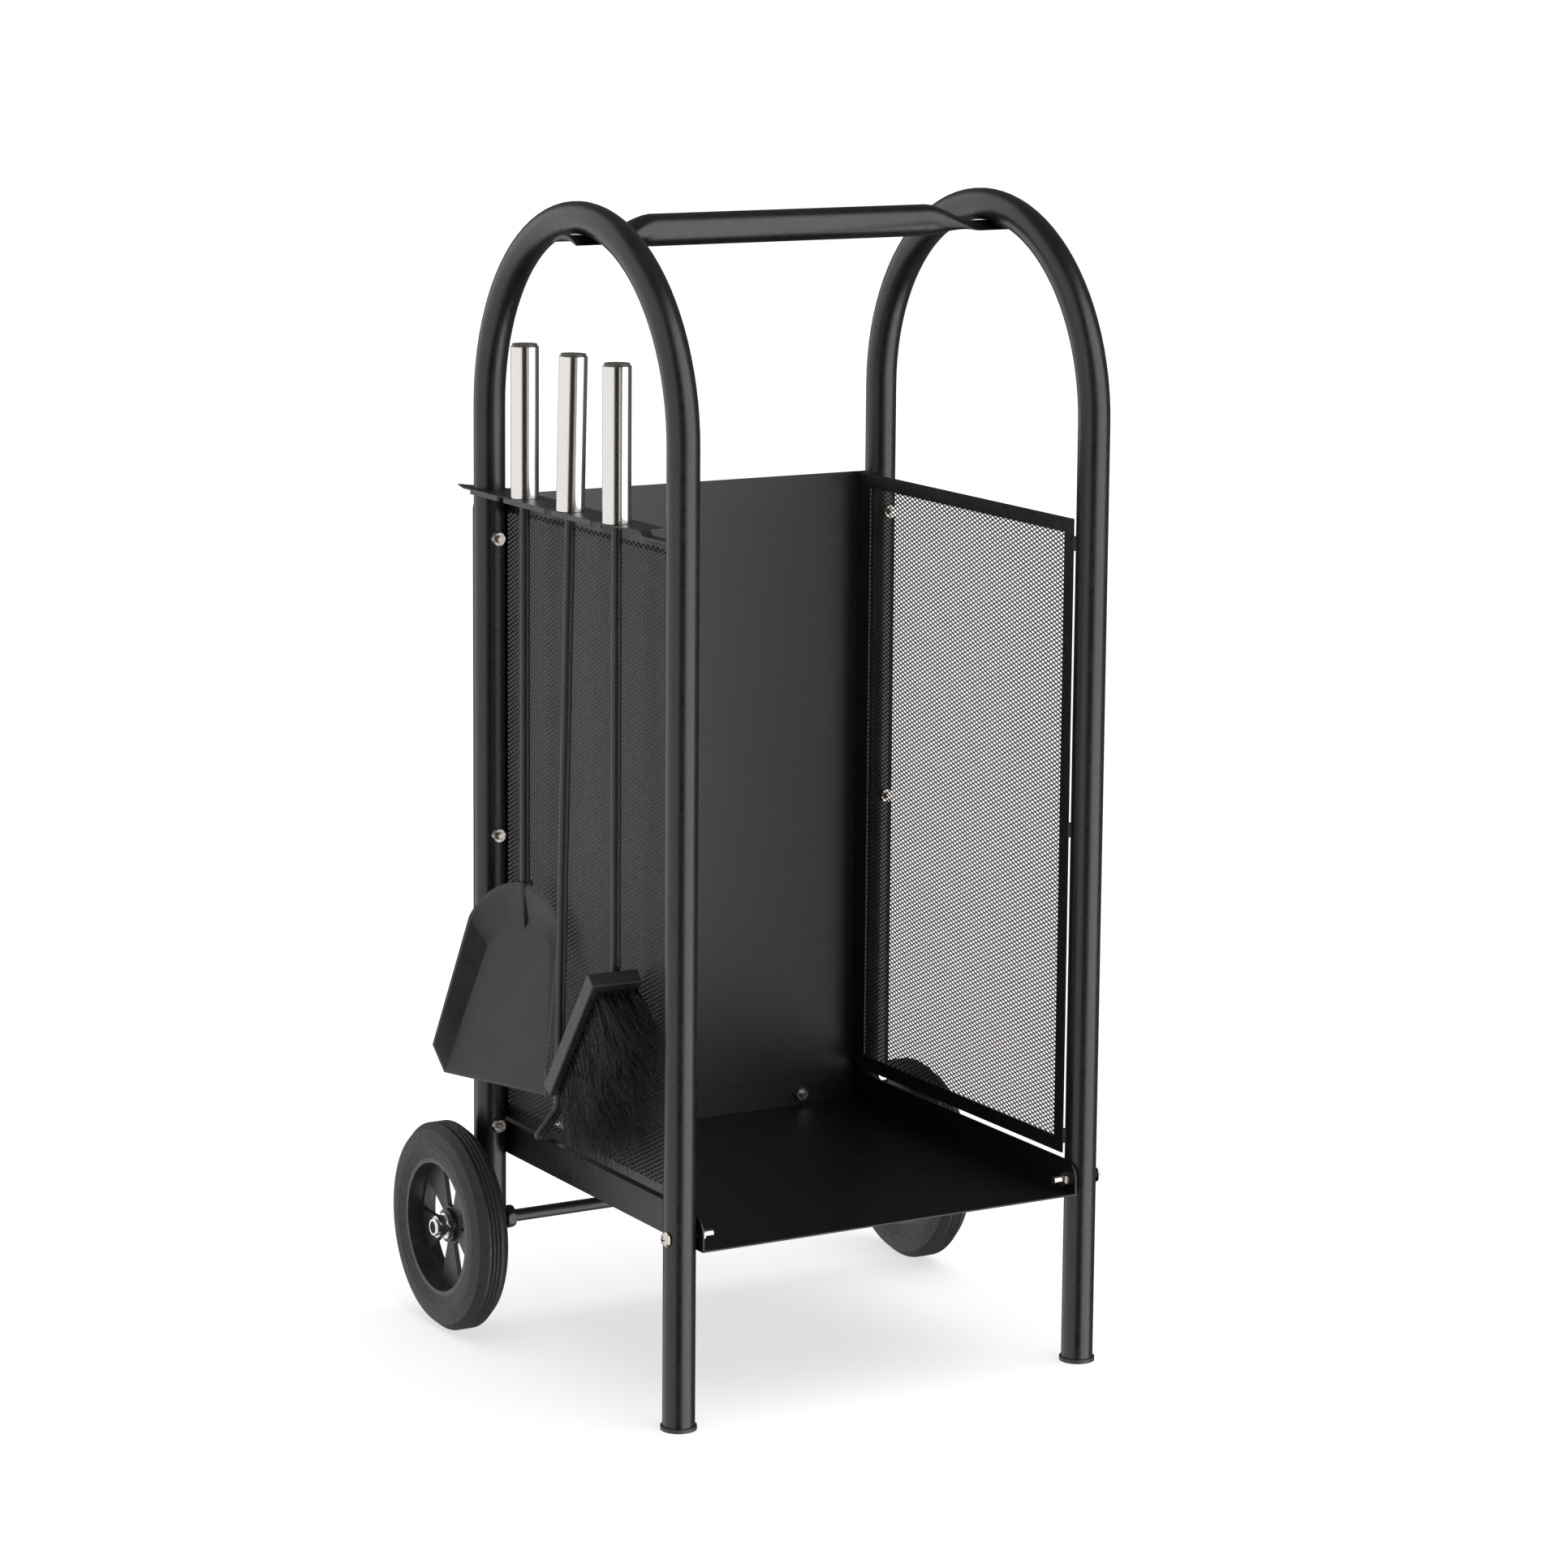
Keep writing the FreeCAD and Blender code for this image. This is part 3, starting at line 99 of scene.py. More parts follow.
def two_tones(material, source, first, second, start=0.35, end=0.65):
    """Turns a pattern into a colour between two tones."""
    ramp = material.node_tree.nodes.new("ShaderNodeValToRGB")
    ramp.color_ramp.elements[0].position = start
    ramp.color_ramp.elements[0].color = first
    ramp.color_ramp.elements[1].position = end
    ramp.color_ramp.elements[1].color = second
    material.node_tree.links.new(source, ramp.inputs["Fac"])
    return ramp.outputs["Color"]


def raise_surface(material, shader, source, depth, strength):
    """Lets a pattern stand that deep, in metres, on the surface."""
    bump = material.node_tree.nodes.new("ShaderNodeBump")
    bump.inputs["Distance"].default_value = depth
    bump.inputs["Strength"].default_value = strength
    material.node_tree.links.new(source, bump.inputs["Height"])
    material.node_tree.links.new(bump.outputs["Normal"], shader.inputs["Normal"])


def powder_coat(name, tones, gloss, peel_depth):
    """Baked black powder: faint tone changes, uneven gloss, and a fine orange peel."""
    material, shader, place = start_material(name)
    links = material.node_tree.links
    tone = mottle(material, place, COAT_TONE_LUMPS)
    links.new(two_tones(material, tone, *tones, start=0.3, end=0.8), shader.inputs["Base Color"])
    links.new(spread(material, mottle(material, place, COAT_GLOSS_LUMPS), *gloss), shader.inputs["Roughness"])
    peel = mottle(material, place, COAT_PEEL_LUMPS, detail=2.0)
    raise_surface(material, shader, peel, peel_depth, COAT_PEEL_STRENGTH)
    return material


def dress(names, material):
    """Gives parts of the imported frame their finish."""
    for name in names:
        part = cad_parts[name]
        for slot in part.material_slots:
            slot.material = material


tube_coat = powder_coat("tube_coat", (TUBE_BLACK, TUBE_BLACK_WORN), TUBE_GLOSS, TUBE_PEEL)
dress(("left_arch", "right_arch"), tube_coat)


# ---- Foot caps and leg plugs ----
# A moulded plastic cap is pushed over the end of each front leg, and a plug closes each short rear leg.
# The plastic is a shade greyer and duller than the coat beside it.

CAP_BLACK = (0.020, 0.020, 0.021, 1)
CAP_GREY = (0.034, 0.034, 0.035, 1)
CAP_GLOSS = (0.48, 0.6)
CAP_GRAIN = 0.00004
PLASTIC_TONE_LUMPS = 90.0
PLASTIC_GLOSS_LUMPS = 400.0
PLASTIC_GRAIN_LUMPS = 2600.0
PLASTIC_GRAIN_STRENGTH = 0.6


def moulded_plastic(name, tones, gloss, grain_depth):
    """Moulded plastic: a fine matt grain and a few paler rubbed patches."""
    material, shader, place = start_material(name)
    links = material.node_tree.links
    tone = mottle(material, place, PLASTIC_TONE_LUMPS, detail=5.0)
    links.new(two_tones(material, tone, *tones), shader.inputs["Base Color"])
    shine = mottle(material, place, PLASTIC_GLOSS_LUMPS)
    links.new(spread(material, shine, *gloss), shader.inputs["Roughness"])
    grain = mottle(material, place, PLASTIC_GRAIN_LUMPS, detail=2.0)
    raise_surface(material, shader, grain, grain_depth, PLASTIC_GRAIN_STRENGTH)
    return material


cap_plastic = moulded_plastic("cap_plastic", (CAP_BLACK, CAP_GREY), CAP_GLOSS, CAP_GRAIN)
dress(("left_foot_cap", "right_foot_cap", "left_leg_plug", "right_leg_plug"), cap_plastic)


# ---- The handle bar and its screws ----
# The bar is a steel tube pressed flat at both ends, and each flat end is screwed up under an arch.
# It has the arches' coat; its screws are bright zinc.

ZINC_BRIGHT = (0.66, 0.62, 0.55, 1)
ZINC_DULL = (0.42, 0.39, 0.34, 1)
ZINC_GLOSS = (0.2, 0.36)
ZINC_MARKS = 0.00003
PLATING_TONE_LUMPS = 300.0
PLATING_GLOSS_LUMPS = 900.0
TOOL_MARK_LUMPS = 1500.0
TOOL_MARK_RUN = (1.0, 1.0, 6.0)
TOOL_MARK_STRENGTH = 0.5


def plated_metal(name, tones, gloss, scratch_depth):
    """Plated steel: cloudy tone, uneven gloss and fine tool marks."""
    material, shader, place = start_material(name)
    links = material.node_tree.links
    tone = mottle(material, place, PLATING_TONE_LUMPS, detail=4.0)
    links.new(two_tones(material, tone, *tones), shader.inputs["Base Color"])
    shine = mottle(material, place, PLATING_GLOSS_LUMPS, detail=4.0)
    links.new(spread(material, shine, *gloss), shader.inputs["Roughness"])
    marks = mottle(material, stretched(material, place, TOOL_MARK_RUN), TOOL_MARK_LUMPS)
    raise_surface(material, shader, marks, scratch_depth, TOOL_MARK_STRENGTH)
    shader.inputs["Metallic"].default_value = 1.0
    return material


zinc_screws = plated_metal("zinc_screws", (ZINC_DULL, ZINC_BRIGHT), ZINC_GLOSS, ZINC_MARKS)
dress(("handle_bar",), tube_coat)
dress(("handle_screws",), zinc_screws)


# ---- The back panel with its bolts and nuts ----
# The back is one sheet of steel with its two long edges folded, bolted to the rear legs.
# It is coated satin black, smoother than the tubes, with a very fine grain along the sheet.

PANEL_BLACK = (0.005, 0.005, 0.0052, 1)
PANEL_BLACK_SOFT = (0.008, 0.008, 0.0082, 1)
PANEL_GLOSS = (0.36, 0.45)
PANEL_RUN = (0.05, 1.0, 1.0)
SHEET_TONE_LUMPS = 6.0
SHEET_GRAIN_LUMPS = 900.0
SHEET_GRAIN_DEPTH = 0.00003
SHEET_GRAIN_STRENGTH = 0.35


def sheet_finish(name, tones, gloss, run):
    """Coated sheet: a grain, drawn out along the sheet's run, that shows faintly through a smooth coat."""
    material, shader, place = start_material(name)
    links = material.node_tree.links
    lines = mottle(material, stretched(material, place, run), SHEET_GRAIN_LUMPS, detail=2.0)
    tone = mottle(material, place, SHEET_TONE_LUMPS)
    links.new(two_tones(material, tone, *tones, start=0.25, end=0.75), shader.inputs["Base Color"])
    links.new(spread(material, lines, *gloss), shader.inputs["Roughness"])
    raise_surface(material, shader, lines, SHEET_GRAIN_DEPTH, SHEET_GRAIN_STRENGTH)
    return material


panel_coat = sheet_finish("panel_coat", (PANEL_BLACK, PANEL_BLACK_SOFT), PANEL_GLOSS, PANEL_RUN)
dress(("back_panel",), panel_coat)
dress(("back_panel_bolts", "back_panel_nuts"), zinc_screws)


# ---- The side frames ----
# Each side is a frame folded from sheet steel, welded to the front leg with three short beads.
# The beads are lumpy, and they take the same kind of coat as the frame.

SIDE_FRAME_GLOSS = (0.36, 0.46)
SIDE_FRAME_PEEL = 0.00005
WELD_GLOSS = (0.32, 0.5)
WELD_LUMP_DEPTH = 0.0002

frame_coat = powder_coat("side_frame_coat", (PANEL_BLACK, TUBE_BLACK_WORN), SIDE_FRAME_GLOSS, SIDE_FRAME_PEEL)
dress(("left_side_frame", "right_side_frame"), frame_coat)

weld_coat = powder_coat("weld_coat", (PANEL_BLACK, TUBE_BLACK_WORN), WELD_GLOSS, WELD_LUMP_DEPTH)
dress(("left_welds", "right_welds"), weld_coat)


# ---- The mesh in the side frames ----
# The mesh is steel sheet, slit and pulled open into small lying diamonds, cut to size and coated black.
# Each strand is a zigzag that steps in and out of the sheet, and joins the strand above at every other bend.

DIAMOND_LONG = 0.0076
DIAMOND_HIGH = 0.0036
STRAND_HIGH = 0.00094
STRAND_THICK = 0.0006
STRAND_STEP = 0.0001
STRAND_JITTER = 0.00002

MESH_BLACK = (0.009, 0.009, 0.0094, 1)
MESH_GREY = (0.022, 0.022, 0.0226, 1)
MESH_GLOSS = (0.4, 0.55)
MESH_PEEL = 0.00004

mesh_coat = powder_coat("mesh_coat", (MESH_BLACK, MESH_GREY), MESH_GLOSS, MESH_PEEL)


def join_mesh(name, corners, faces, material, body, smooth=False):
    """Makes one piece from corners and faces and lets it ride on its body."""
    mesh = bpy.data.meshes.new(name)
    mesh.from_pydata(corners, [], faces)
    mesh.materials.append(material)
    if smooth:
        mesh.shade_smooth()
    mesh.update()
    piece = bpy.data.objects.new(name, mesh)
    bpy.context.scene.collection.objects.link(piece)
    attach(piece, body)
    return piece


def expanded_mesh(name, replaced, outward, seed):
    """One sheet of expanded mesh in the place of its plain solid."""
    low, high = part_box(replaced)
    middle = (low.x + high.x) / 2
    half_long = DIAMOND_LONG / 2
    half_high = DIAMOND_HIGH / 2
    bends = int((high.y - low.y) / half_long) + 1
    strands = int((high.z - low.z - STRAND_HIGH) / half_high)
    spare = (high.y - low.y - (bends - 1) * half_long) / 2
    chance = np.random.RandomState(seed)

    row, bend = np.meshgrid(np.arange(strands), np.arange(bends), indexing="ij")
    upper = (row + bend) % 2
    wobble = chance.uniform(-STRAND_JITTER, STRAND_JITTER, row.shape)
    x = middle + outward * STRAND_STEP * (1 - 2 * upper)
    y = low.y + spare + bend * half_long
    z = low.z + STRAND_HIGH / 2 + (row + upper) * half_high + wobble

    corners = []
    lift = STRAND_HIGH / 2
    side = STRAND_THICK / 2
    for across, along in ((-1, -1), (1, -1), (1, 1), (-1, 1)):
        corners.append(np.stack([x + across * side, y, z + along * lift], -1))
    corners = np.stack(corners, 2).reshape(-1, 3)

    first = ((row[:, :-1] * bends) + bend[:, :-1]) * 4
    faces = []
    for edge in range(4):
        after = (edge + 1) % 4
        faces.append(np.stack([first + edge, first + 4 + edge, first + 4 + after, first + after], -1))
    faces = np.concatenate([face.reshape(-1, 4) for face in faces])
    ends = []
    for strand in range(strands):
        start = strand * bends * 4
        finish = start + (bends - 1) * 4
        ends.append((start, start + 1, start + 2, start + 3))
        ends.append((finish + 3, finish + 2, finish + 1, finish))
    piece = join_mesh(name, corners.tolist(), faces.tolist() + ends, mesh_coat, "frame")
    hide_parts(replaced)
    return piece


expanded_mesh("left_expanded_mesh", "left_mesh", -1, 11)
expanded_mesh("right_expanded_mesh", "right_mesh", 1, 12)


# ---- The shelf tray and its bolts ----
# The logs lie on a tray of folded sheet, bolted to the front legs and to the back panel.
# Its top is the most matt of the sheets, and its folded front edge catches the light.

TRAY_BLACK = (0.001, 0.001, 0.0011, 1)
TRAY_BLACK_SOFT = (0.002, 0.002, 0.0021, 1)
TRAY_GLOSS = (0.42, 0.52)
TRAY_RUN = (1.0, 0.05, 1.0)

tray_coat = sheet_finish("tray_coat", (TRAY_BLACK, TRAY_BLACK_SOFT), TRAY_GLOSS, TRAY_RUN)
dress(("shelf_tray",), tray_coat)
dress(("shelf_side_bolts", "shelf_side_nuts", "shelf_rear_bolts", "shelf_rear_nuts"), zinc_screws)


# ---- The tool rail ----
# A strip of sheet, bent down at both ends and slotted three times, carries the tools by their grips.
# It is screwed between the two legs of the left arch and coated like the side frames.

dress(("tool_rail",), frame_coat)


# ---- The axle ----
# A blackened steel rod runs through both rear legs, with nuts on their inner sides.
# Spacer sleeves keep the wheels off the legs, and washers and bright lock nuts hold them on.

ROD_BLACK = (0.016, 0.016, 0.017, 1)
ROD_WORN = (0.032, 0.031, 0.030, 1)
BRIGHT_ZINC = (0.80, 0.79, 0.77, 1)
BRIGHT_ZINC_SHADE = (0.60, 0.59, 0.57, 1)
ROD_GLOSS = (0.32, 0.45)
ROD_PEEL = 0.00005
BRIGHT_ZINC_GLOSS = (0.12, 0.24)
BRIGHT_ZINC_MARKS = 0.00002

axle_black = powder_coat("axle_black", (ROD_BLACK, ROD_WORN), ROD_GLOSS, ROD_PEEL)
bright_zinc = plated_metal("bright_zinc", (BRIGHT_ZINC_SHADE, BRIGHT_ZINC), BRIGHT_ZINC_GLOSS,
                           BRIGHT_ZINC_MARKS)
dress(("axle_rod", "axle_inner_nuts", "axle_spacers"), axle_black)
dress(("axle_washers", "axle_lock_nuts"), bright_zinc)


# ---- The wheels ----
# Each wheel is a black plastic rim with five openings, and a ring of hard black rubber pressed onto it.
# The rubber is matt, cloudy in tone and lightly dusted.

RUBBER_BLACK = (0.004, 0.004, 0.0041, 1)
RUBBER_DUSTY = (0.010, 0.010, 0.010, 1)
RIM_BLACK = (0.011, 0.011, 0.0115, 1)
RIM_GREY = (0.020, 0.020, 0.0205, 1)
RIM_GLOSS = (0.36, 0.5)
RIM_GRAIN = 0.00004
RUBBER_GLOSS = (0.5, 0.68)
RUBBER_TONE_LUMPS = 60.0
RUBBER_GLOSS_LUMPS = 500.0
PORE_LUMPS = 1800.0
PORE_DEPTH = 0.00006
PORE_STRENGTH = 0.6
DUST_GREY = (0.10, 0.10, 0.10, 1)
NO_DUST = (0, 0, 0, 1)
DUST_GRAINS = 420.0
DUST_GRAIN_EDGE = (0.05, 0.11)
DUST_PATCHES = 25.0


def tyre_rubber():
    """Matt rubber with cloudy tone, fine pores and scattered grains of dust."""
    material, shader, place = start_material("tyre_rubber")
    links = material.node_tree.links
    dust = material.node_tree.nodes.new("ShaderNodeTexVoronoi")
    dust.inputs["Scale"].default_value = DUST_GRAINS
    links.new(place, dust.inputs["Vector"])
    grains = two_tones(material, dust.outputs["Distance"], DUST_GREY, NO_DUST, *DUST_GRAIN_EDGE)
    tone = mottle(material, place, RUBBER_TONE_LUMPS, detail=5.0)
    base = two_tones(material, tone, RUBBER_BLACK, RUBBER_DUSTY, start=0.3, end=0.85)
    dusted = material.node_tree.nodes.new("ShaderNodeMix")
    dusted.data_type = "RGBA"
    dusted.blend_type = "ADD"
    links.new(mottle(material, place, DUST_PATCHES), dusted.inputs["Factor"])
    links.new(base, dusted.inputs["A"])
    links.new(grains, dusted.inputs["B"])
    links.new(dusted.outputs["Result"], shader.inputs["Base Color"])
    shine = mottle(material, place, RUBBER_GLOSS_LUMPS)
    links.new(spread(material, shine, *RUBBER_GLOSS), shader.inputs["Roughness"])
    raise_surface(material, shader, mottle(material, place, PORE_LUMPS), PORE_DEPTH, PORE_STRENGTH)
    return material


rubber = tyre_rubber()
rim_plastic = moulded_plastic("rim_plastic", (RIM_BLACK, RIM_GREY), RIM_GLOSS, RIM_GRAIN)
dress(("left_tyre", "right_tyre"), rubber)
dress(("left_rim", "right_rim"), rim_plastic)


# ---- The tool grips ----
# Each grip is a stainless steel sleeve with a dark plug in its top, and the tool's rod fixed up inside it.
# The sleeve is ground round and round, so it has fine rings and long soft reflections.

STEEL_LIGHT = (0.74, 0.72, 0.69, 1)
STEEL_DARK = (0.58, 0.56, 0.53, 1)
PLUG_BLACK = (0.05, 0.045, 0.04, 1)
PLUG_BROWN = (0.09, 0.08, 0.07, 1)
PLUG_GLOSS = (0.3, 0.45)
PLUG_GRAIN = 0.00003
STEEL_GLOSS = (0.14, 0.22)
RING_LUMPS = 700.0
RING_RUN = (1.0, 1.0, 12.0)
RING_DEPTH = 0.00002
RING_STRENGTH = 0.25

TOOL_NAMES = ("shovel", "poker", "brush")


def ground_steel():
    """Stainless steel with a fine ground grain."""
    material, shader, place = start_material("grip_steel")
    links = material.node_tree.links
    rings = mottle(material, stretched(material, place, RING_RUN), RING_LUMPS, detail=4.0, rough=0.7)
    tone = two_tones(material, rings, STEEL_DARK, STEEL_LIGHT, start=0.3, end=0.7)
    links.new(tone, shader.inputs["Base Color"])
    links.new(spread(material, rings, *STEEL_GLOSS), shader.inputs["Roughness"])
    raise_surface(material, shader, rings, RING_DEPTH, RING_STRENGTH)
    shader.inputs["Metallic"].default_value = 1.0
    return material


grip_steel = ground_steel()
grip_end = moulded_plastic("grip_end", (PLUG_BLACK, PLUG_BROWN), PLUG_GLOSS, PLUG_GRAIN)
for tool in TOOL_NAMES:
    dress((f"{tool}_grip",), grip_steel)
    dress((f"{tool}_cap",), grip_end)


# ---- The shovel and the poker ----
# The shovel is a pressed sheet pan, welded to the flattened end of its rod; the poker is a bent rod.
# Both are coated satin black, the pan a little greyer where it is rubbed.

PAN_BLACK = (0.010, 0.010, 0.0104, 1)
PAN_GREY = (0.018, 0.018, 0.0187, 1)
PAN_GLOSS = (0.36, 0.46)
TOOL_ROD_GLOSS = (0.34, 0.44)
TOOL_PEEL = 0.00004

rod_coat = powder_coat("rod_coat", (TUBE_BLACK, TUBE_BLACK_WORN), TOOL_ROD_GLOSS, TOOL_PEEL)
pan_coat = powder_coat("pan_coat", (PAN_BLACK, PAN_GREY), PAN_GLOSS, TOOL_PEEL)
dress(("shovel_rod", "poker_rod", "brush_rod"), rod_coat)
dress(("shovel_pan",), pan_coat)


# ---- The brush head and its bristles ----
# The head is a block of wood, painted black, drilled in rows, with a tuft of stiff black hair in each hole.
# The hairs are cut unevenly, and the tufts fan out, more so towards the low end of the block.

WOOD_BLACK = (0.014, 0.014, 0.014, 1)
WOOD_WORN = (0.027, 0.026, 0.025, 1)
HAIR_BLACK = (0.006, 0.006, 0.006, 1)
HAIR_SHEEN = (0.030, 0.029, 0.028, 1)
WOOD_GLOSS = (0.42, 0.58)
WOOD_GRAIN_LUMPS = 220.0
WOOD_GRAIN_RUN = (6.0, 1.0, 1.0)
WOOD_GRAIN_DEPTH = 0.0002
WOOD_GRAIN_STRENGTH = 0.4
HAIR_GLOSS = (0.28, 0.5)
HAIR_TONE_LUMPS = 500.0
HAIR_GLOSS_LUMPS = 700.0


def painted_wood():
    """Black paint over wood: the grain stands faintly through it."""
    material, shader, place = start_material("brush_wood")
    links = material.node_tree.links
    along_wood = stretched(material, place, WOOD_GRAIN_RUN)
    grain = mottle(material, along_wood, WOOD_GRAIN_LUMPS, detail=5.0, rough=0.6)
    tone = two_tones(material, grain, WOOD_BLACK, WOOD_WORN, start=0.3, end=0.8)
    links.new(tone, shader.inputs["Base Color"])
    links.new(spread(material, grain, *WOOD_GLOSS), shader.inputs["Roughness"])
    raise_surface(material, shader, grain, WOOD_GRAIN_DEPTH, WOOD_GRAIN_STRENGTH)
    return material


def hair():
    """Black hair, uneven in tone and shine."""
    material, shader, place = start_material("bristle")
    links = material.node_tree.links
    tone = mottle(material, place, HAIR_TONE_LUMPS, detail=4.0)
    links.new(two_tones(material, tone, HAIR_BLACK, HAIR_SHEEN), shader.inputs["Base Color"])
    shine = mottle(material, place, HAIR_GLOSS_LUMPS)
    links.new(spread(material, shine, *HAIR_GLOSS), shader.inputs["Roughness"])
    return material


dress(("brush_head",), painted_wood())

HEAD_DEPTH = 0.013
HEAD_LONG = 0.130
HEAD_HALF = 0.018
HEAD_TILT = math.radians(37.0)
HEAD_TURN = math.radians(-2.5)
TUFT_ROWS = 6
TUFTS_LONG = 18
HAIRS = 16
HAIR_LONG = 0.066
HAIR_THICK = 0.0003
HAIR_JOINTS = 5
HAIR_SIDES = 3
HAIR_TAPER = 0.6
HAIR_CUT = (0.82, 1.05)
LONG_AT_TOP = 0.92
LONG_GAIN = 0.16
ROW_STAGGER = 0.25
END_TO_TUFT = 0.004
SIDE_TO_TUFT = 0.002
HOLE_ACROSS = 0.0007
HOLE_DOWN = 0.0009
FAN_ACROSS = 0.12
FAN_DOWN = 0.16
FAN_TURNS_AT = 0.25
TUFT_SPREAD = (0.03, 0.05)
HAIR_SPREAD = (0.05, 0.07)
BEND_SPREAD = 0.10
DROOP = 0.12
HAIR_SEED = 7


def brush_bristles():
    """All the hairs of the brush as one piece of thin tapered tubes."""
    low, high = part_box("brush_head")
    turn = Matrix.Rotation(HEAD_TURN, 3, "Z") @ Matrix.Rotation(HEAD_TILT, 3, "X")
    across = turn @ Vector((1, 0, 0))
    out = turn @ Vector((0, -1, 0))
    down = turn @ Vector((0, 0, -1))
    top = Vector(((low.x + high.x) / 2, low.y + (HEAD_DEPTH * math.cos(HEAD_TILT)), high.z))
    chance = np.random.RandomState(HAIR_SEED)
    corners = []
    faces = []
    for row in range(TUFT_ROWS):
        for place in range(TUFTS_LONG):
            side = -1 + 2 * row / (TUFT_ROWS - 1)
            along = (place + 0.5 + ROW_STAGGER * (row % 2)) / (TUFTS_LONG + ROW_STAGGER)
            lean_side = FAN_ACROSS * side + chance.normal(0, TUFT_SPREAD[0])
            lean_down = FAN_DOWN * (along - FAN_TURNS_AT) + chance.normal(0, TUFT_SPREAD[1])
            for _ in range(HAIRS):
                root = top + out * HEAD_DEPTH + down * (END_TO_TUFT + along * (HEAD_LONG - 2 * END_TO_TUFT))
                root = root + across * (side * (HEAD_HALF - SIDE_TO_TUFT))
                root = root + across * chance.normal(0, HOLE_ACROSS)
                root = root + down * chance.normal(0, HOLE_DOWN)
                long = HAIR_LONG * chance.uniform(*HAIR_CUT) * (LONG_AT_TOP + LONG_GAIN * along)
                heading = out + across * (lean_side + chance.normal(0, HAIR_SPREAD[0]))
                heading = heading + down * (lean_down + chance.normal(0, HAIR_SPREAD[1]))
                heading = heading.normalized()
                bend = across * chance.normal(0, BEND_SPREAD) + down * chance.normal(DROOP, BEND_SPREAD)
                bend = bend * long
                add_hair(corners, faces, root, heading, bend, long, across, down)
    return join_mesh("brush_hair", corners, faces, hair(), "brush", smooth=True)


def add_hair(corners, faces, root, heading, bend, long, across, down):
    """One hair: a thin tube from its root, bending as it goes and tapering at its tip."""
    start = len(corners)
    for joint in range(HAIR_JOINTS + 1):
        part = joint / HAIR_JOINTS
        centre = root + heading * (long * part) + bend * (part * part)
        wide = HAIR_THICK * (1 - HAIR_TAPER * part * part)
        for corner in range(HAIR_SIDES):
            angle = 2 * math.pi * corner / HAIR_SIDES
            sideways = across * (wide * math.cos(angle))
            corners.append(tuple(centre + sideways + down * (wide * math.sin(angle))))
    for joint in range(HAIR_JOINTS):
        for corner in range(HAIR_SIDES):
            here = start + joint * HAIR_SIDES
            after = (corner + 1) % HAIR_SIDES
            faces.append((here + corner, here + after, here + HAIR_SIDES + after, here + HAIR_SIDES + corner))
    faces.append(tuple(start + corner for corner in reversed(range(HAIR_SIDES))))
    last = start + HAIR_JOINTS * HAIR_SIDES
    faces.append(tuple(last + corner for corner in range(HAIR_SIDES)))


bristles = brush_bristles()
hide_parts("brush_bristles")


# ---- The floor, the light and the camera ----
# The rack stands on a plain white floor, between a wide soft box on the left and a brighter one on the right.
# The camera stands well back, in front and to the left, a little above the rack.

FLOOR_SIZE = 30.0
FLOOR_WHITE = (0.42, 0.42, 0.42, 1)
FLOOR_GLOW = 0.66
ROOM_LIGHT = 0.5
BACKDROP_EXTRA = 0.56
FRONT_OF_ROOM = 30.0
DARK_WALL = 0.12
SOFT_BOXES = ((-152.0, 0.12), (-138.0, 1.2), (-24.0, 1.2), (-16.0, 0.02),
              (18.0, 0.02), (32.0, 2.9), (86.0, 2.9), (100.0, 0.12))
BRIGHTEST_BOX = 3.0
WALL_TOP = 0.72
CEILING_START = 0.92
CEILING_LIGHT = 0.1
CAMERA_PLACE = (-1.8988, -3.3161, 1.1877)
CAMERA_TURN = (80.507, -0.479, -30.029)
CAMERA_LENS = 112.73
CAMERA_SHIFT = -0.0802
SENSOR_WIDTH = 36.0
FARTHEST_SEEN = 200.0
FLOOR_ROUGHNESS = 0.9
OVERHEAD_LIGHT = 2.3
OVERHEAD_SPREAD = 70.0
OVERHEAD_TURN = (12.0, 10.0, 0.0)

floor_mesh = bpy.data.meshes.new("floor")
half_floor = FLOOR_SIZE / 2
floor_corners = [(-half_floor, -half_floor, 0), (half_floor, -half_floor, 0),
                 (half_floor, half_floor, 0), (-half_floor, half_floor, 0)]
floor_mesh.from_pydata(floor_corners, [], [(0, 1, 2, 3)])
floor = bpy.data.objects.new("floor", floor_mesh)
bpy.context.scene.collection.objects.link(floor)
floor_finish, floor_shader, _ = start_material("floor_finish")
floor_shader.inputs["Base Color"].default_value = FLOOR_WHITE
floor_shader.inputs["Roughness"].default_value = FLOOR_ROUGHNESS
floor_shader.inputs["Specular IOR Level"].default_value = 0.0
floor_shader.inputs["Emission Color"].default_value = (1, 1, 1, 1)
floor_shader.inputs["Emission Strength"].default_value = FLOOR_GLOW
floor_mesh.materials.append(floor_finish)
floor.visible_glossy = False

overhead_light = bpy.data.lights.new("overhead", "SUN")
overhead_light.energy = OVERHEAD_LIGHT
overhead_light.angle = math.radians(OVERHEAD_SPREAD)
overhead = bpy.data.objects.new("overhead", overhead_light)
overhead.rotation_euler = [math.radians(turn) for turn in OVERHEAD_TURN]
overhead.visible_glossy = False
bpy.context.scene.collection.objects.link(overhead)

world = bpy.data.worlds.new("white_room")
bpy.context.scene.world = world
world.use_nodes = True
# The room is lit by direction, so it is not sampled from a map: that would lose its boxes in the gloss.
world.cycles.sampling_method = "NONE"
room_nodes = world.node_tree.nodes
room_links = world.node_tree.links


def room_sum(work, first, second):
    """One step of arithmetic on the room's brightness."""
    step = room_nodes.new("ShaderNodeMath")
    step.operation = work
    for socket, value in zip(step.inputs, (first, second)):
        if isinstance(value, float):
            socket.default_value = value
        else:
            room_links.new(value, socket)
    return step.outputs[0]


